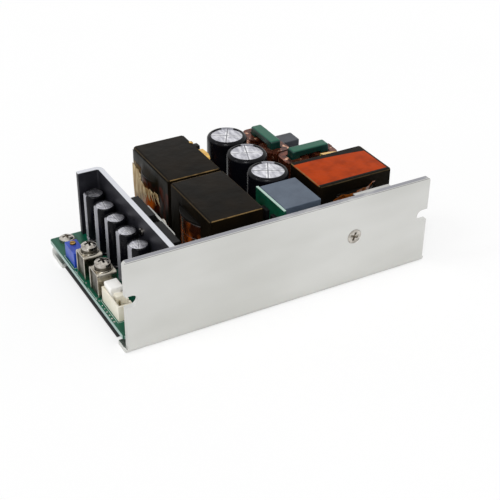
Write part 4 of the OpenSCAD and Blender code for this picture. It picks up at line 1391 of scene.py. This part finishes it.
@dataclass
class LineChoke:
    """Green rectangular core with flat copper wound on edge round both legs."""

    name: str
    along: int
    turns: int = 19
    leg: float = 3.6
    bar: float = 2.7
    reach: float = 5.2
    depth: float = 5.3
    round_by: float = 3.0
    window: float = 2.8
    foot: float = 1.6
    head: float = 0.3
    fill: float = 0.74
    slope: float = 0.035
    tail: float = 3.2
    tail_shift: float = 2.0
    tail_width: float = 1.3
    tail_half: Triple = (0.55, 0.55, 0.3)

    def build(self) -> None:
        """Make the core, dress the base and wind the legs."""
        core = Span.of(f"{self.name}_core")
        self._core(core)
        skin(f"{self.name}_base", Paint.BOBBIN, 0.3)
        # The copper carries pink painted highlights in scattered spots.
        copper = EdgeWound(
            f"{self.name}_copper", srgb(58, 26, 15), srgb(112, 54, 32), 0.26, Grain.PLATED, 0.6,
            copper_glint=srgb(232, 178, 146), lump=2
        )
        piece = Piece(f"{self.name}_coils")
        low = core.low.z + (self.bar + self.foot) * MM
        high = core.high.z - (self.bar + self.head) * MM
        pitch = (high - low) / self.turns
        half = (core.size[self.along] - self.leg * MM) / 2
        for side in (-1, 1):
            middle = core.centre.copy()
            middle[self.along] += side * half
            for turn in range(self.turns):
                self._turn(piece, middle, low + pitch * turn, pitch * self.fill, side)
            self._tail(piece, middle, high - pitch * 0.6, side)
        room = Span.of("chassis")
        for vert in piece.mesh.verts:
            vert.co.y = min(max(vert.co.y, room.low.y), room.high.y - 0.1 * MM)
        piece.hand_over(copper, "choke_copper", [f"{self.name}_winding"])

    def _core(self, core: Span) -> None:
        """The ring, its window opened up to slim bars.

        Args:
            core: The core's box.
        """
        piece = Piece(f"{self.name}_ring")
        piece.skin(f"{self.name}_core")
        for vert in piece.mesh.verts:
            below, above = vert.co.z - core.low.z, core.high.z - vert.co.z
            if min(below, above) > 3 * MM:
                vert.co.z = core.high.z - self.bar * MM if above < below else core.low.z + self.bar * MM
        # Painted light: the lighter green of the top face stands for light from above; the sides stay darker.
        green = SheetEdge(
            f"{self.name}_green", srgb(0, 40, 36), srgb(0, 50, 42), 0.36, Grain.SINTERED,
            specular=0.35, edge=srgb(0, 84, 62), top=core.high.z, lump=3
        )
        piece.hand_over(green, "choke_ferrite", [f"{self.name}_core"], bevel=0.6)

    def _tail(self, piece: Piece, middle: Vector, height: float, side: int) -> None:
        """The flat end of a coil, bent over and led down its outer side.

        Args:
            piece: The mesh.
            middle: Middle of the leg.
            height: Height of the last turn.
            side: Which leg, -1 or 1.
        """
        out = Vector((0, 0, 0))
        out[self.along] = side * (self.reach - 0.3) * MM
        across = Vector((0, 0, 0))
        across[1 - self.along] = side * self.tail_shift * MM
        top = Vector((middle.x, middle.y, height)) + out + across
        low = top - Vector((0, 0, self.tail * MM))
        size = Vector(self.tail_half) * MM
        size[1 - self.along] = self.tail_width * MM
        piece.block(low - size, top + size, 0.2)

    def _turn(self, piece: Piece, middle: Vector, low: float, thick: float, side: int) -> None:
        """Add one flat turn with rounded corners and a slight slope.

        Args:
            piece: The mesh.
            middle: Middle of the leg.
            low: Height of the turn's underside.
            thick: Its thickness.
            side: Which leg, -1 or 1.
        """
        outer = [self.depth * MM, self.depth * MM]
        outer[self.along] = self.reach * MM
        grid = bmesh.ops.create_grid(piece.mesh, x_segments=1, y_segments=1, size=1.0)["verts"]
        for vert in grid:
            vert.co = Vector((vert.co.x * outer[0], vert.co.y * outer[1], 0))
        rounded = piece.bevel(grid, self.round_by * MM, 5, "VERTICES")
        face = max({f for v in rounded for f in v.link_faces}, key=lambda f: f.calc_area())
        bmesh.ops.inset_individual(piece.mesh, faces=[face], thickness=self.window * MM, use_even_offset=True)
        ring = {f for e in face.edges for f in e.link_faces if f is not face}
        bmesh.ops.delete(piece.mesh, geom=[face], context="FACES")
        grown = bmesh.ops.extrude_face_region(piece.mesh, geom=list(ring))["geom"]
        tall = [v for v in grown if isinstance(v, bmesh.types.BMVert)]
        bmesh.ops.translate(piece.mesh, verts=tall, vec=(0, 0, thick))
        every = list({v for f in ring for v in f.verts} | set(tall))
        piece.outward(every)
        slope = Matrix.Rotation(self.slope * side, 3, "Y" if self.along == 0 else "X")
        bmesh.ops.rotate(piece.mesh, verts=every, cent=(0, 0, 0), matrix=slope)
        bmesh.ops.translate(piece.mesh, verts=every, vec=(middle.x, middle.y, low))


@dataclass
class InputSide:
    """Capacitors, control board, clamp and the parts of the input end."""

    turns: tuple[float, ...] = (-0.5, -0.35, -0.55)

    def build(self) -> None:
        """Build everything right of the wound parts."""
        for i, turn in enumerate(self.turns):
            CanCapacitor(f"bulk_capacitor_{i + 1}", turn, 60.0, shoulder=0.09, rim=0.8, steps=72).build()
        plain: dict[str, tuple[Finish, float]] = {
            "x_capacitor": (Paint.X_CAP, 0.3),
            "film_capacitor": (Paint.FILM_CAP, 0.25),
            "control_chips": (Paint.PACKAGE, 0.12),
            "clamp_plate": (Paint.CLAMP, 0.15),
            "bridge_rectifier": (Paint.PACKAGE, 0.2),
            "wall_screw": (Paint.SCREW, 0.08),
            "wall_nut": (Paint.SCREW, 0.1),
            "input_connector": (Paint.IVORY, 0.15),
            "input_pins": (Paint.PIN, 0.1),
            "fuse": (Paint.PACKAGE, 0.25),
            "thermistor": (Paint.DIPPED, 0.3),
            "y_capacitors": (Paint.Y_CAP, 0.3),
        }
        for node, (finish, bevel) in plain.items():
            skin(node, finish, bevel)
        span = Span.of("control_board")
        laminate = SheetEdge(
            "control_laminate_edge", srgb(6, 66, 46), srgb(12, 84, 60), 0.35, coat=0.2,
            edge=srgb(168, 196, 184), top=span.high.z, lump=3
        )
        skin("control_board", laminate, 0.08)


@dataclass
class Board:
    """Main board with its screws, printed lines, pads and small parts."""

    seed: int = 11
    line: float = 0.15
    ink: float = 0.03
    dome: Pairs = ((1, -0.02), (0.92, 0.05), (0.5, 0.13), (0, 0.17))
    dots: Pairs = (
        (1.0, 23.5), (0.9, 25.6), (1.15, 36.5), (0.9, 44.6), (10.6, 22.5), (11.2, 35.2), (11.0, 47.5),
        (12.2, 60.0), (9.2, 62.0), (14.5, 66.8), (56.5, 3.2), (60.5, 4.0), (116.0, 12.0), (118.0, 24.0)
    )
    chips: Pairs = (
        (3.2, 47.6), (11.3, 28.6), (11.3, 31.0), (11.6, 41.5), (11.4, 44.0), (8.2, 66.5), (11.5, 56.0)
    )
    chip: tuple[float, float, float, float] = (0.7, 0.385, 0.5, 0.06)
    chip_end: tuple[float, float, float, float] = (0.25, 0.57, 0.52, 0.08)
    end_shift: float = 0.8

    @property
    def span(self) -> Span:
        """The board's box."""
        return Span.of("main_board")

    def build(self) -> None:
        """Dress the board and add what is printed and soldered on it."""
        span = self.span
        finish = Laminate(
            "green_laminate", srgb(0, 66, 48), srgb(2, 84, 60), 0.36, specular=0.3,
            edge=srgb(150, 174, 168), low=(span.low.x, span.low.y), high=(span.high.x, span.high.y),
            lump=8
        )
        skin("main_board", finish, 0.06)
        skin("board_screws", Paint.SCREW, 0.1)
        self.printing()
        self.joints()
        self.small_parts()

    def at(self, x: float, y: float) -> Vector:
        """A place on the upper face, in millimetres from the board's near left corner."""
        low = self.span.low
        return Vector((low.x + x * MM, low.y + y * MM, self.span.high.z))

    def printing(self) -> None:
        """Thin printed lines beside the terminals and round the header."""
        span = self.span
        top = span.high.z + self.ink * MM
        piece = Piece("board_printing")
        left = span.low.x + 0.35 * MM
        for node in ("negative_terminal", "positive_terminal"):
            box = Span.of(node)
            low = (left, box.low.y - 0.4 * MM, span.high.z)
            piece.block(low, (left + 0.16 * MM, box.high.y + 0.4 * MM, top))
        line, margin = self.line * MM, Vector((0.5, 0.5, 0)) * MM
        for node in ("output_connector", "trimmer_body", "input_connector", "fuse", "x_capacitor"):
            low, high = Span.of(node).low - margin, Span.of(node).high + margin
            low.x = max(low.x, span.low.x + 0.3 * MM)
            for y in (low.y, high.y - line):
                piece.block((low.x, y, span.high.z), (high.x, y + line, top))
            for x in (low.x, high.x - line):
                piece.block((x, low.y, span.high.z), (x + line, high.y, top))
        piece.hand_over(Paint.INK, "board_ink")

    def joints(self) -> None:
        """Test dots: low domes of solder."""
        draw = random.Random(self.seed)
        piece = Piece("board_solder")
        header = Span.of("output_connector").low.y / MM - self.span.low.y / MM
        rows = [(0.75, header + 0.9 + 2.2 * i) for i in range(6)]
        rows += self.dots
        rows += [(draw.uniform(111, 121), draw.uniform(6, 26)) for _ in range(8)]
        for x, y in rows:
            radius = draw.uniform(0.28, 0.45) * MM
            shape = [(radius * share, rise * MM) for share, rise in self.dome]
            piece.lathe(shape, self.at(x, y), 14)
        piece.hand_over(Paint.SOLDER, "solder")

    def small_parts(self) -> None:
        """Chip resistors and capacitors with tinned ends."""
        draw = random.Random(self.seed + 1)
        grid = tuple((112.5 + 2.6 * (i % 4), 14.0 + 2.4 * (i // 4)) for i in range(8))
        bodies, ends = Piece("chip_bodies"), Piece("chip_ends")
        for x, y in self.chips + grid:
            turned = draw.random() < 0.5
            middle = self.at(x, y)

            def lay(piece: Piece, along: float, sizes: Sequence[float]) -> None:
                """Add one block of the part, turned with it.

                Args:
                    piece: The mesh.
                    along: Its middle along the part, in millimetres.
                    sizes: Half its length and width, its height and the radius of its edges.
                """
                shift, size = Vector((along, 0, 0)), Vector((*sizes[:2], 0))
                if turned:
                    shift, size = shift.yxz, size.yxz
                low, high = middle + (shift - size) * MM, middle + (shift + size) * MM
                piece.block(low, high + Vector((0, 0, sizes[2] * MM)), sizes[3])

            lay(bodies, 0.0, self.chip)
            for sign in (-1, 1):
                lay(ends, self.end_shift * sign, self.chip_end)
        bodies.hand_over(Paint.CERAMIC, "chip_ceramic")
        ends.hand_over(Paint.SOLDER, "solder")


@dataclass
class Studio:
    """Floor, world, lamps and camera."""

    dome: float = 0.62
    floor_reach: float = 6.0
    lens: float = 78.733
    spot: Triple = (-0.17501, -0.31919, 0.23617)
    right: Triple = (0.87298856, -0.48757684, 0.01264113)
    above: Triple = (0.25381699, 0.47627663, 0.84186549)
    back: Triple = (-0.41649479, -0.73173041, 0.53953933)

    def build(self) -> None:
        """Build the whole studio."""
        self.floor()
        self.world()
        self.lamp("key", 1.3, 16, (40, 0, -36))
        self.lamp("fill", 0.3, 12, (50, 0, -100))
        self.camera()

    def floor(self) -> None:
        """A wide white floor whose shadow stays faint to the camera."""
        mesh = bmesh.new()
        bmesh.ops.create_grid(mesh, x_segments=1, y_segments=1, size=self.floor_reach)
        data = saved("studio_floor", mesh)
        data.materials.append(Paint.FLOOR.material())
        linked("studio_floor", data)

    def world(self) -> None:
        """Plain grey light that shows as white to the camera and in reflections."""
        world = bpy.data.worlds.new("studio")
        bpy.context.scene.world = world
        world.use_nodes = True
        nodes = Nodes(world.node_tree)
        rays = nodes.node("ShaderNodeLightPath", {}, {}, "Is Camera Ray")
        seen = rays.most(rays.beside("Is Glossy Ray")).most(rays.beside("Is Transmission Ray"))
        light, shown = (
            nodes.node("ShaderNodeBackground", {}, {"Color": LIT, "Strength": strength})
            for strength in (self.dome, 1.0)
        )
        mixed = nodes.node("ShaderNodeMixShader", {}, {0: seen, 1: light, 2: shown})
        nodes.node("ShaderNodeOutputWorld", {}, {"Surface": mixed})

    def lamp(self, name: str, strength: float, spread: float, turn: Sequence[float]) -> None:
        """Add a broad soft sun.

        Args:
            name: The lamp's name.
            strength: Its strength.
            spread: Its angular size in degrees.
            turn: Its rotation in degrees.
        """
        data = bpy.data.lights.new(name, "SUN")
        data.energy = strength
        data.angle = math.radians(spread)
        made = linked(name, data)
        made.rotation_euler = [math.radians(t) for t in turn]

    def camera(self) -> None:
        """A camera above the near left corner."""
        data = bpy.data.cameras.new("studio_camera")
        data.lens = self.lens
        data.sensor_width = 36.0
        data.clip_start, data.clip_end = 0.01, 20.0
        made = linked("studio_camera", data)
        axes = zip(self.right, self.above, self.back)
        turn = Matrix([list(row) for row in axes]).to_4x4()
        made.matrix_world = Matrix.Translation(self.spot) @ turn
        bpy.context.scene.camera = made


def main() -> None:
    """Build every sub-assembly in order."""
    logging.basicConfig(level=logging.INFO, format="%(message)s")
    bpy.context.scene.view_settings.view_transform = "Standard"
    Chassis().build()
    Board().build()
    OutputEnd().build()
    WoundPart("main_transformer", cream=True, seed=3, yellow_spans=((-30, 12),), lug=True).build()
    WoundPart("resonant_choke", seed=8, glow_low=0.06).build()
    WoundPart(
        "boost_choke", banded=True, seed=14, yellow_spans=((-33, 4),), yellow_side=(0.0, 1.0), scraps=True
    ).build()
    LineChoke("line_choke_1", along=1).build()
    LineChoke("line_choke_2", along=0).build()
    InputSide().build()
    Studio().build()


if __name__ == "__main__":
    main()
